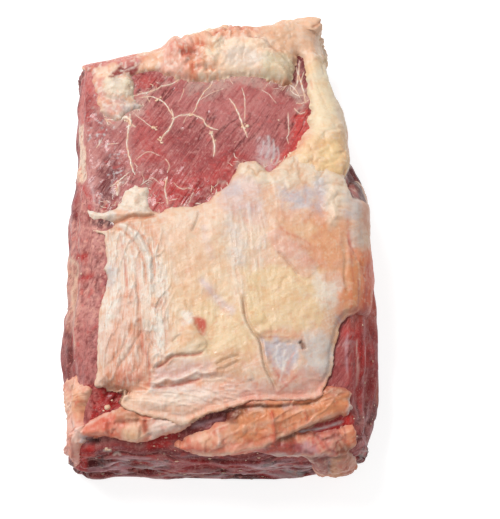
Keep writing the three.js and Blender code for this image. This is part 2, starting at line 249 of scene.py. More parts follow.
# The lean's own surface at grid places: laid flat, in space, outward direction and ring.
def meat(i, j):
    shape = i.shape
    flat, point, ring = surface(i, j)
    most = (slab["topColumns"] + 2 * slab["wallCells"], slab["topRows"] + 2 * slab["wallCells"])
    step = 0.4
    at = lambda a, b: surface(np.clip(a, 0, most[0]), np.clip(b, 0, most[1]))[1]
    normal = np.cross(at(i + step, j) - at(i - step, j), at(i, j + step) - at(i, j - step))
    normal /= np.linalg.norm(normal, axis=-1, keepdims=True) + 1e-9
    flat, ring = flat.reshape(-1, 2), ring.reshape(-1)
    point, normal = point.reshape(-1, 3), normal.reshape(-1, 3)
    relief = slab["reliefHeight"] * swell(flat[:, 0], flat[:, 1] + 20, slab["reliefSize"])
    relief = relief * smooth(0.05, 0.3, ring)
    for line, depth, spread in seamLines:
        near, distance, share, side = nearPath(flat, line, spread * 2.6)
        relief[near] -= depth * np.exp(-((distance / spread) ** 2))
    point = point + normal * (relief * (1 - smooth(0.84, 1, ring)))[:, None]
    point[:, 2] = np.where(ring < 1, np.maximum(point[:, 2], 0.5), 0)
    return flat, point, normal, ring, shape


elevation = math.radians(photo["elevation"])
sight = np.array([0, math.cos(elevation), -math.sin(elevation)])
upwards = np.array([0, math.sin(elevation), math.cos(elevation)])
lensShare = photo["lens"] / photo["sensor"]
cameraDistance = lensShare * photo["height"] / photo["pixelsPerMm"]
cameraPlace = np.array(photo["aim"]) - sight * cameraDistance


def toPixels(point):
    ray = point - cameraPlace
    scale = lensShare * photo["height"] / (ray @ sight)
    across, down = ray[:, 0] * scale, ray @ upwards * scale
    return np.stack([photo["width"] / 2 + across, photo["height"] / 2 - down], -1)


# The surface raised by `lift`, to find the flat place under a pixel and the point over a flat place.
class Finder:
    def __init__(self, lift):
        step = 1 / 6
        i = np.arange(0, slab["topColumns"] + 2 * slab["wallCells"] + step / 2, step)
        j = np.arange(0, slab["topRows"] + 2 * slab["wallCells"] + step / 2, step)
        flat, point, normal, ring, shape = meat(*np.meshgrid(i, j))
        self.flat, self.normal, self.step, self.columns = flat, normal, step, shape[1]
        self.point = point + normal * lift
        self.pixel = toPixels(self.point)
        grid = lambda values: np.stack(np.gradient(values.reshape(*shape, -1), axis=(1, 0)), -1)
        self.flatStep = grid(self.flat).reshape(-1, 2, 2)
        self.pixelStep = grid(self.pixel).reshape(-1, 2, 2)
        self.pointStep = grid(self.point).reshape(-1, 3, 2)
        self.seen = self.tree(self.pixel, np.nonzero(normal @ sight < -0.06)[0])
        self.whole = self.tree(self.flat, np.arange(len(flat)))

    def tree(self, places, chosen):
        made = KDTree(len(chosen))
        for k in chosen:
            made.insert((places[k, 0], places[k, 1], 0), int(k))
        made.balance()
        return made

    def under(self, pixels):
        found = []
        for x, y in pixels:
            k = self.seen.find((x, y, 0))[1]
            move = np.linalg.lstsq(self.pixelStep[k], np.array([x, y]) - self.pixel[k], rcond=None)[0]
            found.append(self.flat[k] + self.flatStep[k] @ np.clip(move, -2, 2))
        return np.array(found)

    def over(self, flats):
        points, normals = [], []
        for x, y in flats:
            k = self.whole.find((x, y, 0))[1]
            move = np.linalg.lstsq(self.flatStep[k], np.array([x, y]) - self.flat[k], rcond=None)[0]
            points.append(self.point[k] + self.pointStep[k] @ np.clip(move, -1, 1))
            normals.append(self.normal[k])
        return np.array(points), np.array(normals)


onLean, onEdge, onFat = Finder(0), Finder(4), Finder(9)
print("chart ready")


def pairs(text):
    return np.array([[float(n) for n in pair.split(",")] for pair in text.split()])


# A path from pixels ("x,y x,y"), or from flat mm where a part starts with "mm". Parts are joined by "|".
def flatPath(text, finder):
    parts = []
    for part in text.split("|"):
        words = part.strip()
        parts.append(pairs(words[2:]) if words.startswith("mm") else finder.under(pairs(words)))
    return np.vstack(parts)


# Colours as they look in the studio: its light is a little above 1, and wet surfaces add some sheen.
lightLevel, sheen = 1.34, 0.028


def paint(red, green, blue):
    share = np.array([red, green, blue]) / 255
    linear = np.where(share <= 0.04045, share / 12.92, ((share + 0.055) / 1.055) ** 2.4)
    return np.maximum(linear / lightLevel - sheen, 0.004)


shades = {
    "cream": (240, 214, 188), "yellow": (237, 205, 158), "peach": (234, 190, 160), "pink": (229, 172, 156),
    "orange": (224, 146, 112), "stain": (205, 98, 80), "white": (240, 228, 214), "silver": (206, 200, 198),
    "blue": (188, 190, 202), "tan": (216, 168, 132), "mauve": (214, 190, 190), "shade": (140, 92, 72),
    "ivory": (236, 222, 196), "sage": (212, 200, 170), "salmon": (226, 160, 132), "coral": (222, 112, 94),
    "apricot": (230, 166, 120), "ember": (252, 144, 96), "ash": (212, 176, 182), "film": (206, 184, 170),
    "lean": (180, 104, 102), "grey": (188, 124, 120), "deep": (150, 76, 76), "maroon": (104, 32, 38),
    "red": (206, 74, 70), "dark": (118, 58, 60), "pale": (206, 146, 138), "brown": (176, 84, 84),
    # The near-black colour for slits, gaps and the lines under lips is painted shade.
    "rose": (211, 137, 130), "hollow": (70, 24, 26), "crimson": (176, 38, 44),
}
palette = {name: paint(*shade) for name, shade in shades.items()}


# Grid lines, in cells, under a loop laid flat: closer together where a cell is longer.
def gridOver(loop, cell):
    walls = slab["wallCells"]
    near = np.nonzero(np.all((onLean.flat > loop.min(0) - 8) & (onLean.flat < loop.max(0) + 8), axis=1))[0]
    rows, columns = np.divmod(near, onLean.columns)
    lines = []
    for found, top, length in [(columns, slab["topColumns"], 7.5), (rows, slab["topRows"], 8.4)]:
        line = [found.min() * onLean.step]
        while line[-1] < found.max() * onLean.step:
            onWall = line[-1] < walls - 0.01 or line[-1] > walls + top - 0.01
            line.append(line[-1] + cell / (10.5 if onWall else length))
        lines.append(np.minimum(line, top + 2 * walls))
    return lines


# Places for noise: laid flat, but with the walls' stretch taken out.
def evened(i, j, flat):
    cells, share = slab["wallCells"], np.linspace(0, 1, 60)
    out = flat.copy()
    for axis, (value, most, section, reach) in enumerate([(i, slab["topColumns"], "flankSection", 22),
                                                          (j, slab["topRows"], "cutSection", 30)]):
        over = (np.minimum(value - cells, 0) + np.maximum(value - cells - most, 0)).ravel() / cells
        steps = along(slab[section], share) * [reach, slab["height"]]
        length = np.concatenate([[0], np.cumsum(np.linalg.norm(np.diff(steps, axis=0), axis=1))])
        real = np.interp(np.abs(over), share, length)
        out[:, axis] += np.sign(over) * (real - slab["wallLength"] * np.abs(over))
    return out


# A piece of the surface as a fine grid, with a height over the lean and a colour at every place.
class Blanket:
    def __init__(self, name, lines, finder, colour, loop=None, margin=2.5):
        self.name, self.finder, self.loop, self.margin = name, finder, loop, margin
        self.flat, self.point, self.normal, self.ring, self.shape = meat(*np.meshgrid(*lines))
        self.even = evened(*np.meshgrid(*lines), self.flat)
        self.height, self.aside, self.wall = (np.zeros(len(self.flat)) for k in range(3))
        self.colour = np.tile(palette[colour], (len(self.flat), 1))
        if loop is not None:
            self.outside = outsideOf(self.flat, loop, 60)

    def path(self, text, steps=4, closed=False):
        return lineThrough(flatPath(text, self.finder), steps, closed)

    # Raises or sinks the surface along a path.
    def ridge(self, text, height, width, ends=0.15, wander=0.0):
        near, distance, share, side = nearPath(self.flat, self.path(text), width * 3)
        distance = np.abs(distance * side + wander * noise(self.flat[near], 9, 3))
        fade = smooth(0, ends, share) * smooth(0, ends, 1 - share)
        self.height[near] += height * np.exp(-((distance / width) ** 2)) * fade

    def lift(self, text, height, soft, ragged):
        self.height += height * self.mask(text, soft, ragged, 9)

    def mask(self, text, soft, ragged, seed):
        loop = self.path(text, 3, closed=True)
        away = outsideOf(self.flat, loop, soft + ragged + 4)
        return 1 - smooth(-soft, soft, away + ragged * layered(self.even, 7, seed))

    def blend(self, mask, colour):
        self.colour += (palette[colour] - self.colour) * np.clip(mask, 0, 1)[:, None]

    # A patch of colour. The length of its path's text picks the seed of its ragged border.
    def blot(self, text, colour, amount, soft, ragged):
        self.blend(amount * self.mask(text, soft, ragged, len(text) % 13), colour)

    def streak(self, text, colour, width, amount=1.0, ends=0.12, broken=0.25):
        near, distance, share, side = nearPath(self.flat, self.path(text), width * 3)
        wobble = noise(self.flat[near], 5, 7)
        spread = width * (1 + 0.3 * wobble)
        fade = smooth(0, ends, share) * smooth(0, ends, 1 - share)
        mask = np.zeros(len(self.flat))
        mask[near] = amount * np.exp(-((distance / spread) ** 2)) * fade
        mask[near] *= 1 - broken + broken * noise(self.flat[near], 3.5, 11)
        self.blend(mask, colour)

    def speckle(self, colour, size, threshold, amount, seed, where=1.0, stretch=1.0, soft=0.15):
        value = layered(self.even, size, seed, 2, stretch)
        self.blend(amount * where * smooth(threshold - soft, threshold + soft, value), colour)

    # Soft patches of a colour, of a size in mm.
    def wash(self, colour, amount, size, seed, low=0.1):
        self.blend(amount * smooth(low, 0.6, layered(self.even, size, seed)), colour)

    # Thin wrinkles along a direction, with crests of one colour between valleys of another.
    def wrinkle(self, degrees, size, stretch, height, where, seed, crest, valley, tone):
        local = turned(self.even, degrees - 90)
        local[:, 0] += 0.12 * size * stretch * noise(self.even, size * stretch, seed + 9)
        value = layered(local, size, seed, 2, stretch)
        line = smooth(0.2, 0.02, np.abs(value))
        self.height += height * where * (line - 0.4 * smooth(0.1, 0.5, value))
        self.blend(tone * where * smooth(0.1, 0.6, value), valley)
        self.blend(tone * where * line, crest)

    # Rounded lumps with creases between them. Gives their height, from 0 to 1.
    def lumps(self, size, seed, crease, tone, where=1.0):
        bend = np.stack([noise(self.even, size, seed + 7), noise(self.even, size, seed + 8)], -1)
        bent = self.even + 0.25 * size * bend
        value = np.abs(layered(bent, size, seed, 2))
        self.blend(tone * where * smooth(0.16, 0.02, value), crease)
        return where * np.minimum(value * 1.8, 1) ** 0.7

    # A border that sinks into the lean: body is the thickness well inside.
    def sunkEdge(self, body, edge=2.2, rounding=9.0):
        depth = np.maximum(-self.outside, 0)
        tall = edge * (1 - np.exp(-depth / 1.3)) + (body - edge) * (1 - np.exp(-depth / rounding))
        return tall - 1.3 * np.maximum(self.outside, 0)

    # A free border: the sheet ends in a round lip that turns under. The lip mask says where, and under
    # says how high the thing is that it lies on.
    def lipEdge(self, tall, lip, thick, under):
        radius = thick / 2
        turn = np.clip((self.outside + radius) / (radius + self.margin - 0.7), 0, 1) * math.pi
        rim = under + radius * (1 + np.cos(turn)) - 0.4
        blendIn = smooth(-radius * 4, -radius, self.outside)
        lipTall = np.where(self.outside < -radius, mixed(tall, under + thick - 0.4, blendIn), rim)
        rolled = -radius + 1.25 * radius * np.sin(turn) - 0.8 * turn / math.pi
        place = np.where(turn > 0, rolled, self.outside)
        self.aside = np.where(turn > 0, (place - self.outside) * lip, 0)
        return mixed(tall, lipTall, lip)

    def awayFromLoop(self):
        rows, columns = self.shape
        grid = lambda values: np.gradient(values.reshape(rows, columns, -1), axis=(1, 0))
        alongI, alongJ = grid(self.point)
        slopeI, slopeJ = grid(self.outside)
        weigh = lambda vector, slope: vector * slope / (np.sum(vector**2, -1, keepdims=True) + 1e-9)
        direction = (weigh(alongI, slopeI) + weigh(alongJ, slopeJ)).reshape(-1, 3)
        return direction / (np.linalg.norm(direction, axis=1, keepdims=True) + 1e-9)

    def cells(self):
        rows, columns = self.shape
        if self.loop is None:
            return np.ones((rows - 1, columns - 1), bool)
        near = (self.outside < self.margin).reshape(rows, columns)
        kept = near[:-1, :-1] | near[1:, :-1] | near[:-1, 1:] | near[1:, 1:]
        while True:  # fill cells that would touch only at a corner
            a, b, c, d = kept[:-1, :-1], kept[:-1, 1:], kept[1:, :-1], kept[1:, 1:]
            pinched = (a & d & ~b & ~c) | (b & c & ~a & ~d)
            if not pinched.any():
                return kept
            kept[:-1, :-1] |= pinched
            kept[:-1, 1:] |= pinched

    # Turns the grid into a closed mesh: the top, a skirt under its border, and a base under it all.
    def build(self, material, sink=3.0):
        rows, columns = self.shape
        place = self.point + self.normal * self.height[:, None]
        if self.loop is not None and np.any(self.aside):
            place = place + self.awayFromLoop() * self.aside[:, None]
        place = np.clip(place, boxLow, boxHigh)
        self.place = place
        kept = self.cells()
        r, c = np.nonzero(kept)
        corner = r * columns + c
        quads = np.stack([corner, corner + 1, corner + columns + 1, corner + columns], -1)
        used = np.unique(quads)
        order = np.full(rows * columns, -1)
        order[used] = np.arange(len(used))
        quads = order[quads]
        following = {}
        open_ = np.pad(~kept, 1, constant_values=True)
        for k, (dr, dc) in enumerate([(-1, 0), (0, 1), (1, 0), (0, -1)]):
            border = open_[r + 1 + dr, c + 1 + dc]
            following.update(zip(quads[border, k].tolist(), quads[border, (k + 1) % 4].tolist()))
        rings = []
        while following:
            start = next(iter(following))
            ring = [start]
            while following[ring[-1]] != start:
                ring.append(following.pop(ring[-1]))
            following.pop(ring[-1])
            rings.append(ring)
        borders = np.concatenate(rings)
        base = self.point[used[borders]] - self.normal[used[borders]] * sink
        if self.loop is None:
            base = place[used[borders]] * slab["baseInset"]
            base[:, 2] = slab["baseHeight"]
        vertices = np.vstack([place[used], base]) * mm
        faces = quads.tolist()
        first, loops = len(used), []
        flatBase = self.flat[used[borders]]
        for ring in rings:
            count = len(ring)
            for k in range(count):
                m = (k + 1) % count
                faces.append([ring[m], ring[k], first + k, first + m])
            loops.append([Vector((*flatBase[first - len(used) + k], 0)) for k in range(count)])
            first += count
        for triangle in tessellate_polygon(loops):
            a, b, c = (flatBase[k] for k in triangle)
            facing = (b[0] - a[0]) * (c[1] - a[1]) - (b[1] - a[1]) * (c[0] - a[0])
            faces.append([len(used) + k for k in (triangle if facing < 0 else reversed(triangle))])
        mesh = bpy.data.meshes.new(self.name)
        mesh.from_pydata(vertices.tolist(), [], faces)
        mesh.polygons.foreach_set("use_smooth", np.ones(len(faces), bool))
        tint = np.vstack([self.colour[used], self.colour[used[borders]]])
        wall = np.concatenate([self.wall[used], self.wall[used[borders]]])
        setColour(mesh, tint)
        mesh.attributes.new("wall", "FLOAT", "POINT").data.foreach_set("value", wall.astype(np.float32))
        mesh.materials.append(material)
        piece = bpy.data.objects.new(self.name, mesh)
        bpy.context.scene.collection.objects.link(piece)
        print(self.name, len(faces) * 2, "triangles at most")
        return piece


def setColour(mesh, colour):
    full = np.hstack([np.clip(colour, 0, 1), np.ones((len(colour), 1))]).astype(np.float32)
    mesh.attributes.new("tint", "FLOAT_COLOR", "POINT").data.foreach_set("color", full.ravel())


boxLow = np.array(cadLow) / mm + 0.05
boxHigh = np.array(cadHigh) / mm - 0.05


# Shader maths as expressions: a Wire wraps a socket.
class Wire:
    def __init__(self, shader, socket):
        self.shader, self.socket = shader, socket

    def math(self, operation, first, second):
        return self.shader.add("ShaderNodeMath", {"operation": operation}, {0: first, 1: second})

    def __add__(self, other):
        return self.math("ADD", self, other)

    def __radd__(self, other):
        return self.math("ADD", other, self)

    def __sub__(self, other):
        return self.math("SUBTRACT", self, other)

    def __rsub__(self, other):
        return self.math("SUBTRACT", other, self)

    def __mul__(self, other):
        return self.math("MULTIPLY", self, other)

    def __rmul__(self, other):
        return self.math("MULTIPLY", other, self)


# Adds nodes to a tree: settings first, then the values or links of the sockets.
class NodeMaker:
    def add(self, kind, settings=None, sockets=None, output=0):
        node = self.tree.nodes.new(kind)
        for key, value in (settings or {}).items():
            setattr(node, key, value)
        self.fill(node, sockets or {})
        return Wire(self, node.outputs[output])

    def fill(self, node, sockets):
        for key, value in sockets.items():
            if isinstance(value, Wire):
                self.tree.links.new(value.socket, node.inputs[key])
            else:
                node.inputs[key].default_value = value


class Shader(NodeMaker):
    def __init__(self, name):
        self.material = bpy.data.materials.new(name)
        self.material.use_nodes = True
        self.tree = self.material.node_tree
        self.surface = self.tree.nodes["Principled BSDF"]

    def finish(self, sockets):
        self.fill(self.surface, sockets)
        return self.material

    def attribute(self, name, output="Fac"):
        return self.add("ShaderNodeAttribute", {"attribute_name": name}, {}, output)

    def place(self, period=(1, 1, 1), turn=0.0):
        source = self.add("ShaderNodeTexCoord", {}, {}, "Object")
        sockets = {"Vector": source, "Rotation": (0, 0, math.radians(turn)), "Scale": period}
        return self.add("ShaderNodeMapping", {"vector_type": "TEXTURE"}, sockets)

    def noise(self, where, scale, detail=3.0, rough=0.55, output=0):
        sockets = {"Vector": where, "Scale": scale, "Detail": detail, "Roughness": rough}
        return self.add("ShaderNodeTexNoise", {}, sockets, output)

    def lobes(self, where, scale):
        settings = {"feature": "SMOOTH_F1"}
        return self.add("ShaderNodeTexVoronoi", settings, {"Vector": where, "Scale": scale}, "Distance")

    def ranged(self, value, low, high, start=0.0, end=1.0):
        settings = {"interpolation_type": "SMOOTHSTEP"}
        return self.add("ShaderNodeMapRange", settings, {0: value, 1: low, 2: high, 3: start, 4: end})

    def mix(self, share, first, second, blend="MIX"):
        settings = {"data_type": "RGBA", "blend_type": blend}
        return self.add("ShaderNodeMix", settings, {0: share, 6: first, 7: second}, 2)

    def bump(self, height, strength, distance, below=None):
        sockets = {"Height": height, "Strength": strength, "Distance": distance}
        if below:
            sockets["Normal"] = below
        return self.add("ShaderNodeBump", {}, sockets)


def colourOf(name):
    return (*palette[name], 1)


def leanMaterial(name, shine):
    shader = Shader(name)
    tint = shader.attribute("tint", "Color")
    wall = shader.attribute("wall")
    along = shader.noise(shader.place((0.014, 0.0012, 0.003), 57), 1, 3)
    bend = shader.noise(shader.place(), 22, 2, 0.5, 1)
    stretched = shader.place((0.013, 0.013, 0.0036))
    bent = shader.add("ShaderNodeVectorMath", {"operation": "MULTIPLY_ADD"}, {
        0: bend, 1: (6, 6, 1.6), 2: stretched})
    layers = shader.noise(bent, 1, 4)
    fibre = along * (1 - wall) + layers * wall
    grain = shader.noise(shader.place(), 780, 3, 0.6)
    patch = shader.noise(shader.place(), 120, 4)
    calm = shader.ranged(shader.noise(shader.place(), 26, 2), 0.42, 0.58, 0.1, 1.0)
    dark = shader.mix(1.0, tint, (0.44, 0.3, 0.32, 1), "MULTIPLY")
    pale = shader.mix(0.6, tint, colourOf("pale"))
    colour = shader.mix(shader.ranged(fibre, 0.52, 0.68, 0, 0.55) * calm, tint, dark)
    colour = shader.mix(shader.ranged(fibre, 0.46, 0.32, 0, 0.6), colour, pale)
    grainy = wall * 0.6 + 0.4
    colour = shader.mix(shader.ranged(grain, 0.56, 0.7, 0, 0.75) * grainy, colour, colourOf("pale"))
    colour = shader.mix(shader.ranged(grain, 0.43, 0.3, 0, 0.75) * grainy, colour, dark)
    colour = shader.mix(shader.ranged(patch, 0.56, 0.72, 0, 0.4), colour, colourOf("red"))
    bump = shader.bump(patch, 0.4, 0.002)
    bump = shader.bump(fibre, 0.4, 0.0012, bump)
    bump = shader.bump(grain, 0.6, 0.0006, bump)
    return shader.finish({
        "Base Color": colour, "Roughness": shader.ranged(patch, 0.35, 0.65, 0.34, 0.52), "Normal": bump,
        "Coat Weight": shader.ranged(patch, 0.48, 0.6, 0.0, 0.5) * (1 - wall), "Coat Roughness": 0.13,
        "Subsurface Weight": 0.05, "Subsurface Radius": (1.0, 0.3, 0.2), "Subsurface Scale": 0.002,
        "Specular IOR Level": shine})


# The wall attribute says how strongly the fat is streaked or lumpy at a place.
def fatMaterial(name, streaky, lumpy):
    shader = Shader(name)
    tint = shader.attribute("tint", "Color")
    strong = shader.attribute("wall")
    streak = shader.noise(shader.place((0.0018, 0.014, 0.006), 3), 1, 4, 0.6)
    mottle = shader.noise(shader.place(), 130, 4)
    fine = shader.noise(shader.place(), 520, 3)
    lobe = shader.lobes(shader.place(), 170)
    warm = shader.mix(1.0, tint, (0.94, 0.7, 0.54, 1), "MULTIPLY")
    pale = shader.mix(0.6, tint, colourOf("white"))
    colour = shader.mix(shader.ranged(mottle, 0.5, 0.68, 0, 0.45), tint, warm)
    colour = shader.mix(shader.ranged(streak, 0.52, 0.64, 0, 0.7 * streaky) * strong, colour, pale)
    colour = shader.mix(shader.ranged(streak, 0.46, 0.34, 0, 0.8 * streaky) * strong, colour, warm)
    colour = shader.mix(shader.ranged(lobe, 0.45, 0.75, 0, 0.6 * lumpy) * strong, colour, warm)
    bright = shader.mix(0.4, tint, colourOf("white"))
    colour = shader.mix(shader.ranged(fine, 0.56, 0.7, 0, 0.3), colour, bright)
    colour = shader.mix(shader.ranged(fine, 0.44, 0.34, 0, 0.35), colour, warm)
    bump = shader.bump(mottle, 0.22, 0.0014)
    bump = shader.bump(streak * strong, 0.7 * streaky, 0.0012, bump)
    bump = shader.bump(lobe * strong, 0.6 * lumpy, 0.0015, bump)
    bump = shader.bump(fine, 0.4, 0.0005, bump)
    return shader.finish({
        "Base Color": colour, "Roughness": shader.ranged(mottle, 0.3, 0.7, 0.36, 0.56), "Normal": bump,
        "Coat Weight": shader.ranged(mottle, 0.54, 0.66, 0.0, 0.16), "Coat Roughness": 0.14,
        "Subsurface Weight": 0.1, "Subsurface Radius": (1.0, 0.5, 0.3), "Subsurface Scale": 0.003,
        "Specular IOR Level": 0.28})


def threadMaterial(name, first, second):
    shader = Shader(name)
    mottle = shader.noise(shader.place(), 260, 3)
    colour = shader.mix(shader.ranged(mottle, 0.38, 0.62), colourOf(first), colourOf(second))
    bump = shader.bump(mottle, 0.3, 0.0006)
    return shader.finish({"Base Color": colour, "Roughness": shader.ranged(mottle, 0.3, 0.7, 0.34, 0.5),
                          "Normal": bump, "Specular IOR Level": 0.4})


leanLook = leanMaterial("leanMeat", 0.28)
wallLook = leanMaterial("leanWall", 0.14)
skinLook = fatMaterial("skinFat", 1.0, 0.0)
lumpLook = fatMaterial("lumpyFat", 0.0, 1.0)
threadLook = threadMaterial("paleThread", "white", "peach")
noduleLook = threadMaterial("fatNodule", "cream", "peach")
print("materials ready")

# Colours over the lean: on top in the window, and in layers down the walls.
leanMarks = {
    "cell": 0.72, "windowRise": 0.35, "underWindow": 2, "fibreAngle": 57,
    "busy": "84,66 134,80 134,206 96,206 84,160",
    "blots": [
        ("76,66 100,64 98,110 90,130 80,150 76,120", "rose", 0.85, 5, 5),
        ("88,96 100,110 108,130 100,150 90,150 86,120", "deep", 0.65, 4, 6),
        ("84,80 92,84 90,118 84,124", "crimson", 0.45, 4, 5),
        ("88,150 104,152 104,186 92,180", "dark", 0.35, 5, 6),
        ("120,140 128,150 124,176 112,168 108,150", "deep", 0.5, 6, 6),
        ("92,120 130,122 132,150 120,160 96,158", "grey", 0.7, 6, 3),
        ("130,80 215,84 240,90 300,95 305,120 290,140 240,140 180,125 140,118", "grey", 0.25, 8, 4),
        ("98,162 116,162 116,200 110,208 100,200", "dark", 0.55, 5, 3),
        ("150,130 235,130 245,160 228,182 200,198 150,200 136,170", "deep", 0.45, 8, 4),
        ("150,176 205,172 232,156 242,162 228,184 210,200 170,208 150,208", "red", 0.6, 6, 5),
        ("150,170 200,160 230,150 236,160 200,176 150,186", "deep", 0.45, 6, 6),
        ("84,100 130,108 130,160 100,170 84,160", "deep", 0.3, 8, 8),
        ("160,158 236,150 240,176 204,204 160,206", "crimson", 0.3, 8, 6),
        ("152,186 190,192 214,182 222,188 196,204 152,208", "crimson", 0.4, 5, 5),
        ("292,112 310,112 311,130 300,147 288,160 276,169 266,166 280,152 292,138", "red", 0.85, 4, 3),
        ("260,140 272,144 275,170 264,166 258,152", "mauve", 0.6, 5, 6),
        ("190,70 262,70 290,80 286,92 240,84 214,96 186,90", "film", 0.5, 6, 7),
        ("96,108 124,104 142,98 146,104 130,120 110,124", "film", 0.45, 5, 7),
        ("262,78 292,84 300,100 290,104 276,92", "dark", 0.6, 5, 5),
        ("288,84 302,82 308,96 304,110 294,104", "film", 0.7, 4, 6),
        # The near-black hole under the skin's fold is painted shade.
        ("88,219 112,219 113,227 96,227 86,224", "hollow", 0.85, 2, 1.5),
        ("100,160 118,160 120,184 108,206 98,196", "maroon", 0.55, 6, 5),
        ("180,196 214,180 226,170 232,174 214,196 190,206", "maroon", 0.35, 5, 5),
        ("140,120 160,118 166,150 150,166 134,160", "red", 0.3, 8, 5),
        ("292,52 308,52 308,78 300,84 288,76", "maroon", 0.85, 4, 3),
        ("127,68 158,68 160,86 138,88 130,80", "deep", 0.5, 3, 2),
        ("136,76 160,77 156,88 138,86", "red", 0.4, 3, 2),
        ("66,229 106,229 104,262 98,300 96,340 96,386 72,388 68,320 70,260", "pale", 0.85, 4, 3),
        ("79,130 92,130 94,214 80,214", "pale", 0.6, 4, 5),
        ("76,130 84.5,130 86,180 78,180", "cream", 0.85, 2, 3),
        ("62,326 98,326 96,388 66,388", "lean", 0.5, 5, 6),
        ("64,262 77,262 78,326 64,326", "peach", 0.4, 4, 6),
        ("333,316 369,316 370,394 333,394", "deep", 0.5, 5, 3),
        ("338,330 352,320 350,390 336,392", "lean", 0.6, 4, 5),
        ("350,320 374,322 374,400 352,400", "red", 0.3, 5, 6),
        ("352,320 362,320 362,400 354,400", "crimson", 0.4, 4, 5),
        ("344,328 356,328 356,338 344,338", "red", 0.6, 4, 3),
        ("360,343 369,343 369,366 360,366", "red", 0.6, 4, 3),
        ("345,166 362,170 364,200 347,200", "maroon", 0.75, 4, 3),
        ("79,388 99,388 97,424 80,426", "rose", 0.6, 3, 4),
        ("86,385 122,385 119,400 111,412 100,421 88,422 92,404", "crimson", 0.95, 3, 3),
        ("109,395 118,395 115,407 109,406", "maroon", 0.5, 2, 3),
        ("94,386 100,390 96,404 92,404", "rose", 0.5, 3, 3),
        ("294,434 322,423 349,413 355,424 327,434 306,435", "crimson", 0.95, 2, 1.5),
        ("346,415 354,416 354,425 347,425", "red", 0.9, 1.5, 1),
        ("345,300 378,300 378,326 362,322 350,330", "stain", 0.7, 9, 6),
        ("367,256 388,256 388,312 367,312", "stain", 0.85, 4, 4),
        ("76,438 86,438 86,447 76,447", "mauve", 0.8, 2, 1),
        ("75,446 92,446 92,470 77,470", "red", 0.8, 2.5, 3),
        # The near-black spots in the front corner's hollows are painted shade.
        ("86,437 100,437 100,446 87,446", "hollow", 0.75, 2.5, 2),
        ("87,456 102,456 102,468 88,468", "hollow", 0.8, 3, 3),
        ("170,460 216,461 216,470 172,470", "crimson", 0.6, 2.5, 2),
        ("216,462 250,464 248,471 220,470", "crimson", 0.5, 2.5, 3),
        ("145,434 180,431 187,434 162,447 146,447", "crimson", 0.8, 2.5, 2),
        ("177,418 230,408 230,421 192,435 178,435", "maroon", 0.75, 2.5, 2.5),
    ],
    "streaks": [
        ("80,71 79,100 79,130", "peach", 1.3, 0.6), ("87,164 90,180 95,205", "mauve", 1.2, 0.5),
        ("81.5,179 85,192 89,202", "red", 1.4, 0.7),
        ("68.3,258 74.4,262 78.5,268 75.4,282.6 71.3,293 72.3,303 74.4,315 73.4,336"
         " 75.4,356", "cream", 1.4, 0.8),
        ("75,257.5 82,255.5 89,256", "crimson", 3, 1), ("77,280 84,277 90,275 96,276", "crimson", 3.2, 1),
        ("69,324.6 69,345 69,366.4 71.3,381.7", "maroon", 5, 0.95),
        ("72,330 73,350 73,372", "crimson", 2, 0.8), ("63,238 68,237 73,239", "crimson", 3, 0.95),
        ("82,179 86,192 90,206 88,222", "crimson", 2.6, 0.8),
        ("72,262 75,276 73,292 75,308", "peach", 2, 0.6),
        ("357.2,337 356.6,351 357.8,361 357.2,376.5 356,389.3", "white", 1, 0.7),
        ("348,330 346,350 348,376", "ash", 1.2, 0.6), ("364,326 366,350 364,384", "ash", 1.2, 0.6),
        ("341,346 350,342 358,344", "mauve", 1.4, 0.4), ("360,320 361,352 360,392", "maroon", 1.2, 0.6),
        ("340,362 348,366 356,364", "maroon", 1.4, 0.4),
        ("372,300 374,330 374,372 373,415", "dark", 2.2, 0.35),
        ("375.4,373 375,395 373.6,415", "orange", 1.2, 0.7),
        ("354,163.6 345,181.4 339.5,199.3", "white", 1.4, 0.9),
        ("296,65 298,72 297,84", "white", 0.8, 0.7), ("268,134 269,148 265,160", "silver", 1.3, 0.8),
        ("273,138 274,152 271,165", "silver", 1, 0.8), ("264,140 262,150 260,156", "silver", 0.8, 0.6),
        ("277,146 279,156 275,166", "silver", 0.9, 0.7), ("84,86 86,104 84,124 88,140", "pale", 1, 0.7),
        ("92,110 94,124 90,136", "pale", 0.9, 0.6), ("74,446 75,458 77,470", "white", 1.2, 0.7),
        ("103,450 112,450", "white", 1.2, 0.8), ("113,456 117,453 121.6,456", "white", 0.9, 0.8),
        ("296,432.5 320,429 346,421", "silver", 0.9, 0.9), ("190,428 205,423 225,418", "ash", 1.2, 0.6),
        ("230,463 260,466 290,470 320,477", "ash", 1.8, 0.8),
        ("236,470 264,473 300,477", "ash", 1.6, 0.7),
        # A near-black painted shade line across the front cut.
        ("150,448 180,454 210,459 240,459", "hollow", 1.6, 0.5),
        ("188,416 205,427 212,424", "ash", 0.8, 0.5),
    ],
    "grooves": [
        ("70.3,322 70.3,345 70.3,368", 2.5, 2), ("78.5,280.5 86,276 94.8,275", 1.6, 1.5),
        ("77.4,256 87.7,256", 1.4, 1.4), ("104,390 116,394 124,400", 5, 7), ("112,396 118,404", 3, 5),
        ("352,162 357,176 362,190", -4.5, 12), ("297,60 298,76 294,84", 2, 3),
        ("300,432 322,424 350,416", 1.6, 4), ("67,266 67,290 66,314", 3.2, 9),
        ("88,440 94,442 99,440", 3, 3), ("88,458 96,464 104,466", 2.5, 5),
    ],
}


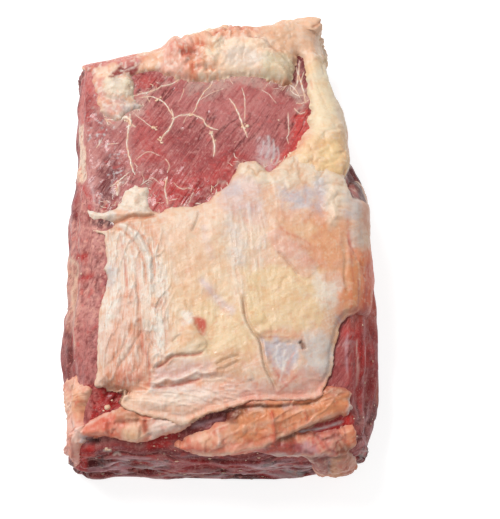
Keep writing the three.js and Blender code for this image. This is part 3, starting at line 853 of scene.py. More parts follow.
# Layers of meat and pale tissue down the cut walls, and fibres over the top.
def dressLean(blanket):
    flat, ring, height = blanket.flat, blanket.ring, blanket.point[:, 2]
    wall = smooth(0.02, 0.3, ring)
    ends = np.maximum(smooth(-194, -204, flat[:, 1]), smooth(186, 206, flat[:, 1]))
    sides = np.clip(wall - ends, 0, 1)
    top, lower = 1 - np.maximum(wall, ends), 1 - smooth(0.84, 1, ring)
    strip = smooth(-88, -98, flat[:, 0]) * smooth(35, 20, flat[:, 1])
    blanket.wall = np.maximum(1 - top, strip)
    across = np.where(ends > 0.5, flat[:, 0], flat[:, 1])
    sheet = np.stack([across, height + 9 * noise(flat, 48, 21) + 4.5 * noise(flat, 17, 22)], -1)
    layer = layered(sheet * [0.2, 1], 9, 23, 3)
    gap = smooth(0.26, 0.05, np.abs(layered(sheet * [0.15, 1], 12, 24, 2)))
    seam = smooth(0.2, 0.09, np.abs(layered(sheet * [0.14, 1], 13, 27, 2)))
    blanket.blend(wall * 0.4, "deep")
    blanket.blend(ends * 0.9, "brown")
    lines = smooth(0.2, 0.09, np.abs(layered(sheet * [0.16, 1], 11, 28, 2)))
    lines = lines * smooth(-0.3, 0.2, layered(blanket.even, 14, 26))
    seam = seam * smooth(-0.4, 0.1, layered(blanket.even, 20, 30))
    blanket.blend(ends * 0.7 * smooth(-0.1, 0.4, layered(blanket.even, 16, 29)), "crimson")
    blanket.blend(ends * 0.7 * smooth(0.0, 0.25, layer), "maroon")
    blanket.blend((0.85 * ends + 0.35 * sides) * lines, "ash")
    blanket.blend(ends * 0.25 * smooth(-0.2, -0.5, layer), "ash")
    # The gaps between the layers are painted maroon, and darkest in their middle as painted shade.
    blanket.blend((0.9 * ends + 0.65 * sides) * gap, "maroon")
    blanket.blend(ends * 0.5 * gap * gap, "hollow")
    blanket.blend((0.8 * ends + 0.5 * sides) * seam, "ash")
    blanket.wrinkle(2, 8, 5, 0.7, ends * lower, 50, "silver", "maroon", 0.65)
    blanket.blend(sides * 0.5 * smooth(0.1, 0.5, layer), "dark")
    blanket.blend(sides * 0.5 * smooth(-0.1, -0.5, layer), "pale")
    x, y = flat.T
    blanket.height += 4.5 * smooth(140, 165, x) * smooth(0, -50, y) * smooth(-180, -130, y)
    blanket.height += 1.5 * smooth(130, 165, x) * smooth(-180, -220, y) * lower
    blanket.height += ((2.4 * layer - 2.4 * gap) * ends + (1.1 * layer - 1.2 * gap) * sides) * lower
    alongFibres = turned(flat, leanMarks["fibreAngle"] - 90)
    fibre = layered(alongFibres, 2.4, 31, 2, 8)
    furrow = smooth(0.16, 0.0, np.abs(layered(alongFibres, 6, 32, 2, 5)))
    furrow = furrow * smooth(-0.1, 0.4, noise(flat, 34, 34))
    blanket.height += top * (0.22 * fibre + 0.5 * layered(flat, 16, 33) - 0.8 * furrow)
    blanket.blend(top * 0.5 * smooth(0.1, 0.6, layered(flat, 26, 35)), "deep")
    blanket.blend(top * 0.5 * smooth(0.1, 0.6, layered(flat, 21, 36)), "rose")
    blanket.blend(top * 0.35 * smooth(0.2, 0.6, layered(flat, 9, 38)), "dark")
    for mark in leanMarks["blots"]:
        blanket.blot(*mark)
    blanket.blend(top * 0.45 * smooth(0.2, 0.7, fibre), "deep")
    # The fibre furrows are sunk and also painted maroon: painted shade in them.
    blanket.blend(top * 0.7 * furrow, "maroon")
    blanket.blend(top * 0.3 * smooth(-0.25, -0.7, fibre), "pale")
    blanket.colour *= 1 - (ends * smooth(60, 30, flat[:, 0]))[:, None] * [0, 0.16, 0.16]
    for where, depth, width in leanMarks["grooves"]:
        blanket.ridge(where, -depth, width)
    # In the busy patch, the silver speckles are painted glints, among darker maroon specks.
    busy = top * blanket.mask(leanMarks["busy"], 12, 6, 6) * smooth(-0.1, 0.5, layered(flat, 20, 49))
    blanket.speckle("silver", 2.0, 0.42, 0.7, 47, busy)
    blanket.speckle("maroon", 2.6, 0.45, 0.4, 48, busy)
    blanket.speckle("pale", 2.0, 0.45, 0.5, 41)
    blanket.speckle("dark", 2.4, 0.5, 0.4, 43)
    blanket.speckle("pink", 2.2, 0.25, 0.7, 45, strip * smooth(-125, -60, flat[:, 1]))
    blanket.speckle("dark", 2.4, 0.25, 0.5, 46, strip)
    for mark in leanMarks["streaks"]:
        blanket.streak(*mark)


# Pale vessels and grains of fat over the bare lean: paths with half widths in mm, and places with radii.
veins = {
    "paths": [
        ("130.3,114 128.4,129 127.4,139 127.4,148 130.3,160 132.7,169 135,175", 1),
        ("120,121 126,117 131,124 126,128", 1.7), ("129,124 136,127", 0.8),
        ("130,172 123.6,177 116,183.7 110,187.5", 0.7), ("119,181 118,188 117,196", 1.1),
        ("101.6,139.7 99,144 96,148", 0.6), ("106,145.4 111,144 119,143.5", 0.4),
        ("160,142.5 163.8,135.8 169.5,129 173.3,120.5 178,116.7 184.8,115.3 191.5,114.3 198.2,116.7"
         " 203,119.6 205.8,124.3 212.5,129 218,130", 0.9),
        ("210,131 213.5,140.6 214.5,148.3 213.5,157", 1), ("171.4,109 173.3,116.7 174,121", 0.5),
        ("139,98 150,97 160,100 166,105 171,113 174,119", 0.6), ("184,88 182,96 178,102", 0.4),
        ("213,78 210.6,85.6 204.9,91.3 199.2,99.9 195.3,109.5 192,114", 0.6),
        ("229,98 235.4,107.6 240.2,118 242,124 244,129 248,138", 0.8),
        ("241,86 244,95 245,104 244.6,123", 0.4), ("288,111 288.7,132 287,138 289.3,145", 0.4),
        ("165,159 169.5,165.5 167,173", 0.4), ("167,177 165.7,184 164.7,189.4 166.6,198 168,205", 0.8),
        ("173,182 180,188.4 189.6,188.4 195,190", 0.4), ("193.4,192 188.6,203", 0.4),
        ("169,201 177,199", 0.4),
        ("111,117 120,108 129,98 140.8,94.2 152.3,91.3 161.8,86.5 170.4,84.6 184,77", 0.8),
        ("190,113 186,118 183,124", 0.3), ("200,100 214,92 226,88", 0.3),
        ("152,128 140,118 132,112", 0.35), ("104,119 112,120 122,118", 0.8),
        ("296,66 298,74 297,84 292,92", 0.7), ("300,60 299,74 303,90 306,104", 0.7),
        ("286,84 294,88 300,98", 0.7), ("292,92 298,96 306,94", 0.6), ("296,103 302,104 309,100", 0.6),
        ("304,72 301,84 306,98", 0.5), ("294,108 300,114 306,112", 0.5), ("262,90 270,96 276,104", 0.3),
        ("136,160 148,152 160,156", 0.35), ("140,186 152,178 160,184", 0.3),
    ],
    "blobs": [
        ("154.2,128.7", 3), ("160,141", 2.8), ("244,126.5", 2.8), ("159,100", 2.2), ("212,133", 2.6),
        ("288.2,154.6", 3), ("279.2,120", 1.1), ("283.7,162", 1.8), ("165.7,180", 1.7),
        ("191.5,114.5", 2), ("126,120", 2.6), ("116,190", 1.5), ("173,119", 1.3), ("215,141", 1.4),
        ("235,142", 0.8),
    ],
    "borders": [
        "103,119 119,118 141,103 150,92 168,78 192,80 213,79 248,74 268,78 284,84 291,83",
        "97,208 117.8,200 122,184 136,171 150,184 152,209 193,204.7 216,191 232.4,175.8 242.4,160.8"
        " 261.4,163.6 289,160",
    ],
    "strays": 70, "seed": 12,
}

windowOutline = ("78,62 110,56 160,60 200,66 260,64 288,72 294,50 304,48 314,70 316,110 314,132 300,152"
                 " 292,170 270,178 250,168 236,186 212,204 190,212 150,218 110,216 84,206 79,180 78,130"
                 " 77,90")
windowLoop = lineThrough(flatPath(windowOutline, onLean), 3, closed=True)


def wholeLean():
    walls, columns, rows = slab["wallCells"], slab["topColumns"], slab["topRows"]
    across = np.linspace(0, columns + 2 * walls, (columns + 2 * walls) * 6 + 1)
    lengthwise = np.concatenate([
        np.linspace(0, walls, 96, endpoint=False), np.linspace(walls, walls + 2, 12, endpoint=False),
        np.linspace(walls + 2, walls + rows, 156, endpoint=False),
        np.linspace(walls + rows, 2 * walls + rows, 50)])
    blanket = Blanket("leanBody", (across, lengthwise), onLean, "lean")
    dressLean(blanket)
    blanket.height -= leanMarks["underWindow"] * smooth(-3, -7, outsideOf(blanket.flat, windowLoop, 12))
    return blanket, blanket.build(wallLook)


bodyBlanket, leanBody = wholeLean()
windowBlanket = Blanket("leanWindow", gridOver(windowLoop, leanMarks["cell"]), onLean, "lean", windowLoop)
dressLean(windowBlanket)
for where, half in veins["paths"]:
    windowBlanket.streak(where, "pale", half * 2.6, 0.4)
    windowBlanket.streak(where, "cream", half * 0.9, 0.75, 0.1, 0.4)
for where in veins["borders"]:
    windowBlanket.streak(where, "film", 5, 0.5, 0.02, 0.9)
windowBlanket.height += leanMarks["windowRise"] - 1.3 * np.maximum(windowBlanket.outside + 1, 0)
leanWindow = windowBlanket.build(leanLook)
print("lean ready")


# The lumpy fat along the back and down the right of the bare lean.
backMarks = {
    "cell": 0.85, "colour": "cream", "wander": 1.8, "wanderSize": 6, "thickness": 11,
    "calm": [
        ("218,46 240,42 262,46 290,58 290,76 262,74 224,76", 0.6, 5, 3, 1),
        ("240,20 318,12 322,62 296,56 262,44", 0.65, 8, 4, 2),
    ],
    "lumpyAgain": "286,140 345,134 348,180 290,188",
    "dips": [(-24, 17, 6.5), (40, 16, 4.5)],
    "tip": (88, 209, 13, 7),
    "washes": [("peach", 0.5, 30, 51, 0), ("white", 0.45, 17, 53), ("salmon", 0.5, 12, 55)],
    "outline": ("80,69 90,70 91,80 97,92 98,104 104,113 119,119 128,110 141,104 133,97 133,82 132,72"
                " 154,70 168,74 192,80 213,79 230,75 248,74 268,78 284,84 291,83 292,77 294,68 297,57"
                " 300,53 303,57 306,66 306.5,80 309,94 310.5,110 308,116.7 310,126.7 303,134.5 296,145"
                " 289,158 286,168 290,180 298,188 306,190 314,186 322,184 332,184 342,181 350,170|mm"
                " 150,84 158,84 152,130 140,190 105,222 60,232 0,222 -60,208 -100,182"),
    "lifts": [
        ("318,50 328,56 334,84 340,104 350,136 336,136 324,84", 3.2, 9, 0),
        ("102,79 110,75 120,77 127,74 133,79 130,85 133,91 124,95 114,93 106,96 101,89", 2.6, 3, 3.5),
    ],
    "ridges": [
        ("205,46 240,34 275,30 300,24", 2, 9), ("217,62 240,48 262,52 270,66", 3, 8),
        ("160,58 175,50 186,62 190,72", 2, 5), ("261,70 276,66 290,78", 1.5, 4),
        ("318,40 326,80 338,120 344,150", 1.5, 8), ("308.6,33 312,28 317,25", 1.5, 3),
    ],
    "grooves": [
        ("192.5,40 197,52 206,62 206,72", 2.2, 2), ("181,57 190,54 196,49", 2.5, 2),
        ("241,41 254.5,41.6 265,43.5 272.7,48.3 281.3,56 290,61.7", 1.2, 2),
        ("266,76 276,75 284,79", 1.5, 1.8), ("308.6,30.5 313.3,27.8 315.3,25 319.3,24.4", 2, 1.2),
        ("310,181 319.4,175.8 330,176 340.6,175.8 348.4,165.8", 2, 2), ("319.6,63.6 323,77", 1, 1.6),
        ("324.4,71.2 326.3,82.7 331,95", 1.2, 1.6), ("118,68 128,62 142,57", 1.5, 3),
        ("313,164 309,176 302,184", 1.2, 2),
    ],
    "blots": [
        ("300,60 325,60 345,110 350,165 340,176 315,178 298,186 292,160 310,135"
         " 312,100", "yellow", 0.6, 6, 4),
        ("322,140 345,140 346,176 320,176", "yellow", 0.8, 4, 3),
        ("296,30 317,28 318,60 300,60", "cream", 0.55, 5, 4),
        ("273,50 293,50 293,72 275,72", "orange", 0.4, 4, 4),
        ("306,70 332,76 342,128 313,130", "ivory", 0.8, 5, 4),
        ("308,84 326,84 330,126 314,128", "yellow", 0.25, 5, 5),
        ("93,69 116,68 116,80 100,84", "cream", 0.6, 3, 3),
        ("102,78 132,76 133,94 104,97", "ivory", 0.95, 2, 2),
        ("102,80 132,80 132,95 104,96", "film", 0.45, 4, 5),
        ("99,97 128,95 141,104 119,119 103,114", "film", 0.9, 4, 4),
        ("100,96 118,95 122,104 108,112", "rose", 0.5, 5, 5),
        ("124,98 138,98 140,104 126,108", "silver", 0.5, 3, 3),
        # This silver patch is silvery membrane with a painted glint on it.
        ("112,71 122,71 122,80 112,80", "silver", 0.6, 3, 3),
        ("80,67 100,66 102,76 84,74", "rose", 0.6, 4, 4),
        ("110,70 118,64 136,55 148,52 146,60 130,70 112,76", "deep", 0.95, 2, 3),
        ("92,78 102,76 104,96 96,92", "rose", 0.7, 3, 3),
        ("100,62 118,57 118,62 106,66", "red", 0.5, 2, 3),
        ("140,52 152,48 166,40 160,50 146,57", "rose", 0.7, 3, 3),
        ("78,60 110,52 134,46 136,58 112,62 84,70", "rose", 0.9, 2, 3),
        ("84,60 104,56 104,64 88,68", "lean", 0.5, 2, 3),
        ("94,64 112,60 114,68 98,74", "cream", 0.7, 2, 3),
        ("156,42 194,41 196,77 158,70", "pink", 0.75, 4, 3),
        ("178,50 190,50 190,58 178,58", "stain", 0.7, 2, 2),
        ("190,60 196,60 196,74 190,74", "orange", 0.75, 2, 2),
        ("206,37 219,37 219,56 206,56", "ivory", 0.7, 3, 2),
        ("217,44 262,43 268,60 262,74 224,76 215,62", "cream", 0.7, 4, 3),
        ("228,25 270,25 270,33 228,34", "mauve", 0.35, 3, 2),
        ("240,36 300,20 316,22 316,44 300,60 270,44", "peach", 0.75, 5, 4),
        ("272,33 292,33 292,53 272,53", "tan", 0.45, 4, 3),
        ("261,56 291,56 291,80 262,80", "sage", 0.75, 4, 3),
        ("282,77 293,77 293,84 282,84", "orange", 0.6, 2, 1),
        ("298,24 314,20 316,36 302,44", "peach", 0.5, 4, 3),
        ("306,73 313,73 313,88 306,88", "ivory", 0.6, 2, 1),
        ("329,95 341,95 350,160 340,165", "peach", 0.35, 4, 3),
        ("143,55 160,45 163,58 150,68 136,66", "peach", 0.8, 3, 2),
        ("130,69 158,66 160,78 138,80", "deep", 0.5, 3, 3),
        ("222,52 246,50 262,56 262,64 240,66 224,62", "silver", 0.4, 4, 4),
        ("196,40 216,34 240,28 262,27 262,34 216,44 200,50", "salmon", 0.6, 3, 4),
        ("262,78 284,83 291,82 290,78 266,74", "shade", 0.5, 2, 2),
    ],
    "streaks": [
        ("210,40 226,34 244,33 262,38", "stain", 1, 0.6),
        ("165,50 176,47 190,50 198,44 207,47", "stain", 1.6, 0.6), ("171,49 172,54", "stain", 1.2, 0.8),
        ("194,49 194.4,50", "stain", 1.6, 0.8), ("199,43 203,52 206.8,61.7", "orange", 1.2, 0.7),
        ("192.5,63.6 192.5,73", "stain", 1.3, 0.7), ("266,76 274,76 282,78", "orange", 1, 0.7),
        ("230,31 231,32", "stain", 1.4, 0.8),
        ("308.6,30.5 313.3,27.8 315.3,25 319.3,24.4", "orange", 1, 0.7),
        ("310,181 319.4,175.8 330,176 340.6,175.8 348.4,165.8", "orange", 1.3, 0.7),
        ("312.5,76 313.5,88", "orange", 1, 0.6), ("116,67 128,66 141,57", "white", 1, 0.5),
        ("160,70 176,74 196,78 214,77", "ivory", 1.4, 0.6),
    ],
}


# A blanket of fat inside an outline whose edge wanders a little.
def fatBlanket(name, marks):
    loop = lineThrough(flatPath(marks["outline"], onEdge), 3, closed=True)
    blanket = Blanket(name, gridOver(loop, marks["cell"]), onFat, marks["colour"], loop)
    shift = layered(blanket.even, marks["wanderSize"], 61) + 0.5 * noise(blanket.even, 2.4, 62)
    blanket.outside = blanket.outside + marks["wander"] * shift * np.exp(-((blanket.outside / 3) ** 2))
    return blanket


# Folds, creases and patches of colour that belong to one piece of fat.
def dressFat(blanket, marks):
    for mark in marks.get("lifts", []):
        blanket.lift(*mark)
    for mark in marks["ridges"]:
        blanket.ridge(*mark)
    for where, depth, width in marks["grooves"]:
        blanket.ridge(where, -depth, width, 0.1, 0.8)
        blanket.streak(where, "shade", width * 0.6, 0.3)
    for mark in marks["blots"]:
        blanket.blot(*mark)
    for mark in marks["streaks"]:
        blanket.streak(*mark)


backBlanket = fatBlanket("backFat", backMarks)
backX, backY = backBlanket.flat.T
onFlank = smooth(0.05, 0.5, backBlanket.ring)
calm = 0.9 * smooth(40, 70, backX) * smooth(175, 150, backY)
for where, amount, soft, ragged, seed in backMarks["calm"]:
    calm = np.maximum(calm, amount * backBlanket.mask(where, soft, ragged, seed))
calm *= 1 - 0.4 * backBlanket.mask(backMarks["lumpyAgain"], 8, 3, 2)
backBlanket.wall = 1 - calm
for wash in backMarks["washes"]:
    backBlanket.wash(*wash)
backLumps = 4.2 * backBlanket.lumps(15, 63, "orange", 0.5, 1 - calm) - 1.5
backLumps += 1.5 * backBlanket.lumps(7, 65, "stain", 0.35, 1 - 0.8 * calm)
backLumps += 1.5 * layered(backBlanket.even, 34, 67) + (0.5 - 0.3 * calm) * layered(backBlanket.even, 4, 66)
thin, behind = smooth(-36, -56, backX), smooth(185, 205, backY)
backBody = (backMarks["thickness"] + backLumps - 2 * onFlank) * (1 - 0.6 * thin)
for x, spread, depth in backMarks["dips"]:
    backBody -= behind * depth * np.exp(-(((backX - x) / spread) ** 2))
backBody -= 4 * smooth(95, 115, backX) * smooth(120, 150, backY) * smooth(200, 180, backY)
backBlanket.height = backBlanket.sunkEdge(backBody, 1.8, 6)
tipX, tipY, tipSpread, tipHeight = backMarks["tip"]
tipAway = np.hypot(backX - tipX, backY - tipY)
backBlanket.height += tipHeight * np.exp(-((tipAway / tipSpread) ** 2))
dressFat(backBlanket, backMarks)
backBlanket.speckle("white", 3.0, 0.35, 0.5, 57, 1 - 0.8 * calm)
backBlanket.speckle("orange", 3.0, 0.5, 0.4, 59, 1 - calm)
backFat = backBlanket.build(lumpLook)
print("back fat ready")

# The smooth skin over the front half, with its free edge in front and its folds.
# Paths that the marks below use more than once.
skinFolds = {
    "cord": "112,220.5 124,226 135,234 145,249 149,263 150.5,285 151,298",
    "cordLeft": "108,223 120,229 131,239 140,252 145,267 147,290",
    "cordRight": "122,220 138,231 148.5,246 153.5,260 155,284",
    "tab": "108,221 120.3,220.8 131.5,217.5 145,217 158,214",
    "pocket": "150.9,371 165.2,363.4 170.3,359.3 177.4,356.2 196.8,355.2 205,351",
    "long": ("243.7,294 244.3,304 246.2,316.6 251.3,329.3 259,339.5 262.2,351 264,362.5 267.9,372.7"
             " 274.3,383 279.4,393"),
    "longCrest": "238,292 240,305 244,320 251,333 258,345 261,358 266,374 274,390",
    "strap": ("266.6,233 279.4,230.3 290.9,239.2 299.8,248.2 316.4,266 307.5,278.8 299.8,276.2"
              " 284.5,258.4 274.3,250.7"),
    "side": "344.4,229 344.4,247 345,263.5 343.8,275 347,286.4 348.9,296.6",
    "sideLow": "346.4,231.6 349.5,245.6 355.9,258.4 362.3,269.8 366,281.3",
    "slit": "351,168 356,168 364,180 370,194 368,201 354,200 351,188",
    "leftOuter": "128.5,323.6 131.5,328 126.4,341 120.3,352 106,367.4",
    "leftInner": "142.8,328.7 141.7,341 144.8,352 148.9,360 149.9,370.5",
    "rightRim": "345,320 340.6,325 336.8,341 333.6,353.6 333.6,361 331.7,372.7 326.6,383 322.8,391.8",
    "frontRim": ("320,398 293.4,401.4 264,401.4 246.2,403.3 236,407 223.6,410.4 209,413.5 184.5,424"
                 " 163.9,418.6 144.4,415.4 128,410.5 121,403.4"),
    "leftRim": ("94.8,382 97.3,368.5 96.8,346 97.9,325.6 99.9,307 104,293 107,278.5 104,269 107,262"
                " 106,256 105,245"),
}
skinMarks = {
    "outline": ("86,204 97,207 112,208.5 117,205 117.5,198 120,190 123.5,184.5 130,182.5 133,178.5"
                " 138,181 148,183 152,188 151,197 153,208 160,211 170.5,205.7 193,204.7 204,201.8"
                " 210.6,197 216.4,191 226.8,183.7 232.4,175.8 239,163.6 242.4,160.8 255.8,159.7"
                " 261.4,163.6 269,170 276,166 284,158 300,152 316,160 332,166 344,174 350,188|mm 132,50"
                " 164,48 182,0 180,-56 150,-72 124,-74|349.5,316 "
                + skinFolds["rightRim"] + " " + skinFolds["frontRim"]
                + " 124,396 130,392 118.3,387.9 112,385.8 103,385.8 96,386 " + skinFolds["leftRim"]
                + " 104,235 97,232 89,230 87,227.5 92,226.5 102,226.5 110,225 109,221.5 100,220.5"
                  " 91,221 86,216 84.5,210"),
    "lip": "349,314 " + skinFolds["rightRim"] + " " + skinFolds["frontRim"],
    "leftLip": "96,386 " + skinFolds["leftRim"] + " 104,232",
    "cell": 0.8, "colour": "peach", "wander": 1, "wanderSize": 7, "thickness": 10.5,
    "lipThickness": 3,
    "washes": [("cream", 0.5, 32, 51, 0), ("salmon", 0.4, 19, 53), ("white", 0.35, 11, 54)],
    "wrinkles": [
        ("combed", 88, 3.4, 6, 0.6, 91, "white", "salmon", 0.9),
        ("left", 76, 7, 4, 0.9, 92, "white", "orange", 0.75),
        ("crumpled", 40, 3.4, 2, 0.8, 94, "white", "orange", 0.7),
        ("middle", 96, 7, 6, 0.15, 93, "white", "peach", 0.25),
        ("front", -3, 3.6, 5, 0.5, 95, "white", "salmon", 0.8),
        ("front", -10, 9, 3, 0.6, 96, "cream", "stain", 0.4),
        ("all", 25, 5, 3, 0.12, 97, "white", "salmon", 0.25),
        ("fibres", 94, 3.2, 9, 0.25, 98, "white", "salmon", 0.8),
    ],
    "fibres": "226,206 262,206 264,250 262,300 240,306 232,270",
    "crusty": "120,178 152,178 152,204 120,204",
    "knobbly": [
        "238,164 262,156 300,148 345,160 350,180 341,222 327,222 322,186 290,188 262,184 240,180",
        "118,180 154,176 154,205 118,205",
    ],
    "leftPart": "98,230 150,226 168,262 170,340 152,372 97,384",
    "frontPart": "120,386 150,378 215,372 246,384 280,396 322,376 322,400 236,408 184,424 126,408",
    "lifts": [
        ("150,355 157,353 169,352 176,348 181,343 182,338 180,334 183,328 184,317 189,315"
         " 193,320 198,331 205,341 207,346 204,351 199,355 181,355 174,360 167,365"
         " 157,370 151,371", 1, 0.9, 0.9),
        ("352,190 362,196 372,230 374,262 358,262 350,220", 2.2, 6, 2),
        ("261.5,339.5 266.6,338.3 279.4,340.8 290.9,339.5 299.8,340.8 298.5,351 297.2,358.7 290.9,371.4"
         " 282,379 274.3,371.4 266.6,360", -1.1, 4.5, 3),
        (skinFolds["strap"], 0.6, 1.2, 1.2),
        ("151,300 154,297.5 158,298.5 159.5,302 157,305.5 153,305.5", 1.3, 2, 0.2),
        (skinFolds["slit"], -2, 3, 1),
        ("150,378 172,375 206,368 224,367 222,375 206,376 190,380 172,383 152,386", 0.8, 1.2, 2.5),
        ("116,200 118,178 136,170 156,180 156,206 130,208", -6, 5, 3),
        ("82,200 104,202 110,214 112,228 84,228", -5.5, 5, 3),
    ],
    "ridges": [
        ("100,211 112,213 124,213 140,211 156,209", 2.6, 4.5), ("92,229 104,229 116,232", 2, 4),
        (skinFolds["cord"], 1.7, 1.7),
        ("150,384 159,382.5 167,379 173,380.5 186,377.5 197,372 204,374 224,370", 2, 1.7),
        ("158,360 176,352 186,342 190,326", 1.4, 6), ("154,366 158,362 162,361", 1.6, 1.6),
        ("164,359 168,356 173,354", 1.5, 1.6), ("185,320 194,334 203,348", 2, 6),
        (skinFolds["longCrest"], 2.4, 4), ("258,336 262,331 272,329", 1.6, 3),
        ("266.6,236 280,236 292,244 306,258 314,270", 1.3, 6), ("330,190 334,205 336,222", 2, 5),
        ("249,313 258,319 266,316", 1.2, 4), ("245,369 249,375 250,381", 1.6, 2.5),
        ("136,405 150,402 168,405", 1.8, 4), ("105,300 103,340 104,370", 1.2, 6),
        ("120,376 140,380", 1.5, 7),
    ],
    "grooves": [
        ("90.7,222.5 100,223 108,223.5", 7, 2.6), (skinFolds["tab"], 3.4, 1.8),
        (skinFolds["cordLeft"], 1, 1.2), (skinFolds["cordRight"], 0.8, 1.2),
        ("163.2,262 165,285 167,305 168.3,325", 0.5, 1.4), (skinFolds["pocket"], 2, 1.4),
        ("172,343 176,338 181,336", 1.2, 1.2),
        ("152,389 167,386 179.5,384.5 195.8,380 206,376", 1.3, 1.4), (skinFolds["long"], 3, 1.5),
        ("276.8,252 288,263 299.8,276.2", 1.2, 1.2), (skinFolds["side"], 1, 1.3),
        (skinFolds["sideLow"], 0.7, 1.3), ("299.8,341 303,345 304,350", 3, 1.8),
        ("136.6,276 139.7,315 140.7,332 136.6,342 130.5,352 124.4,360 115.2,372.6", 1.3, 1.4),
        (skinFolds["leftOuter"], 0.9, 1.4), (skinFolds["leftInner"], 1.4, 1.4),
        ("148.9,320.5 150.9,335.8 156,348", 1, 1.2), ("152,325 162,344 167,352", 1, 1.2),
        ("198.9,210 197.9,218.3 194.8,226.4 191.7,232.5", 1.4, 1.4),
        ("185.6,300 187.7,307 194.8,316", 0.8, 1.2), ("215,365 226,360 240,356", 1.6, 1.6),
        ("216,371 228,367 240,362", 1.4, 1.5), ("273,345 280,342 292,342", 0.6, 2),
        ("280.6,290 283,280 289,277", 0.6, 1.5), ("118,262 122,300 120,320", 0.7, 1.6),
    ],
    "blots": [
        ("105,232 150,232 152,300 150,352 110,372 97,370 97,330 106,290", "white", 0.45, 6, 6),
        ("200,235 262,230 262,340 210,360 165,340 165,250", "yellow", 0.4, 12, 9),
        ("246,268 316,268 318,325 262,330 246,300", "yellow", 0.7, 7, 6),
        ("190,305 245,300 258,345 245,358 205,352 208,335", "yellow", 0.5, 8, 7),
        ("160,213 235,210 262,240 240,262 170,250", "cream", 0.4, 9, 7),
        ("150,232 200,232 205,262 180,290 166,262 152,248", "peach", 0.35, 8, 7),
        ("274,215 344,215 344,279 318,268 300,250 282,236", "orange", 0.6, 9, 8),
        ("312,222 342,222 342,264 324,264 314,244", "apricot", 0.6, 8, 8),
        ("336.8,276 345.7,276 347,300 342,317 336.8,317", "orange", 0.55, 3, 3),
        (skinFolds["strap"], "pink", 0.5, 1.6, 1.6),
        ("280,222 312,224 312,244 290,236", "yellow", 0.4, 6, 4),
        ("228,225 242,225 244,262 230,262", "silver", 0.4, 5, 5),
        ("312.6,272 326.6,281.3 333,282 340.6,274 338,304 322,306 314,290", "white", 0.6, 4, 4),
        ("218,180 240,176 258,184 258,205 222,207", "mauve", 0.45, 6, 6),
        ("224,180 240,182 240,196 226,196", "blue", 0.35, 4, 4),
        ("279,188 311.6,190 311.6,208 283.7,208", "blue", 0.6, 6, 6),
        ("312.7,182 326,182 326,210 312.7,210", "blue", 0.5, 5, 5),
        ("327,181 339.5,181 339.5,224 327,224", "cream", 0.6, 4, 3),
        ("153,262 163,262 168,325 166,350 153,350 151,300", "white", 0.75, 3, 3),
        ("116,176 156,172 154,208 118,208", "white", 0.85, 3, 3),
        ("118,178 154,178 152,206 118,206", "cream", 0.4, 4, 4),
        ("84,206 112,209 112,220 84,220", "white", 0.8, 2, 2),
        # This silver patch stands for glints: painted highlights.
        ("104,265 118,265 116,286 104,286", "silver", 0.6, 4, 4),
        ("108,286 120,286 118,318 106,318", "white", 0.7, 5, 5),
        ("96,316 106,316 106,342 96,342", "white", 0.5, 4, 4),
        ("100,366 146,366 146,386 98,386", "salmon", 0.6, 5, 5),
        ("118,371 140,369 142,382 118,384", "stain", 0.4, 4, 5),
        ("128,330 152,334 154,372 132,370", "salmon", 0.6, 5, 5),
        ("102,322 120,322 120,362 102,362", "salmon", 0.45, 5, 6),
        ("120,300 136,290 138,330 120,352 108,352", "salmon", 0.5, 6, 6),
        ("182.6,313 191.7,313 191.7,325 182.6,325", "white", 0.8, 2, 2),
        ("192.5,318 198,317 205,320 207.5,327 205.5,333 202,336 198,331 194,325", "stain", 0.8, 1.8, 1.2),
        ("198,319 204,321 205,327 200,328", "red", 0.5, 1.5, 1),
        ("152,386 188,386 188,393 152,394", "silver", 0.6, 3, 3),
        ("215,354 240,352 241,373 218,374", "tan", 0.7, 4, 4),
        ("156,370 184,362 208,360 210,372 180,380 158,380", "mauve", 0.5, 5, 5),
        ("262,340 280,341 298,341 298,352 292,368 282,377 270,362", "blue", 0.65, 5, 5),
        ("303.6,335.7 333,335.7 333,372 303.6,372", "silver", 0.6, 6, 6),
        ("310,336 332,340 328,370 312,368", "white", 0.3, 6, 6),
        ("274,372.7 300,372.7 300,391.8 284.5,392 274,384", "stain", 0.35, 5, 6),
        ("300,374 328,374 326,384 300,388", "pink", 0.7, 5, 5),
        ("276.8,393 330,386 324,402 280,402", "coral", 0.45, 3, 3),
        ("240,385 330,376 322,398 244,402 190,412 186,400", "pink", 0.4, 5, 5),
        ("126,394 186,396 230,388 236,404 184,422 130,410", "cream", 0.5, 5, 6),
        ("190,390 270,384 276,398 200,410", "coral", 0.25, 5, 7),
        ("200,402 262,394 322,392 322,404 240,406 200,414", "salmon", 0.5, 3, 4),
        ("145,394 200,390 210,398 150,404", "white", 0.6, 4, 5),
        ("346,195 359,195 360,217 346,217", "silver", 0.6, 6, 6),
        ("350,230 360,230 361,248 351,248", "silver", 0.6, 4, 4),
        ("358,200 368,200 370,232 360,232", "salmon", 0.6, 5, 5),
        ("352,230 370,230 370,248 352,248", "tan", 0.35, 5, 5),
        ("356,250 378,246 380,307 350,307", "orange", 0.95, 7, 5),
        ("352,256 384,250 384,316 356,316", "ember", 0.7, 12, 8),
        ("366,258 390,254 390,318 366,318", "stain", 0.65, 5, 5),
        ("346,262 360,262 358,306 347,306", "apricot", 0.6, 5, 5),
        ("346,313 380,311 380,324 346,324", "lean", 0.85, 5, 5),
        ("262,200 300,214 300,226 262,222", "peach", 0.4, 7, 6),
        (skinFolds["slit"], "maroon", 0.95, 1.5, 2.5),
        ("353,180 360,184 362,196 355,198", "rose", 0.5, 2, 3),
        ("151,299 159,298 159,305 152,306", "peach", 0.9, 1.5, 0.5),
        ("120,408 186,400 190,392 130,396", "cream", 0.4, 4, 5),
        ("166,386 304,384 304,401 200,402 166,402", "white", 0.3, 4, 6),
        ("236,392 300,388 300,398 240,402", "coral", 0.25, 4, 6),
    ],
    "streaks": [
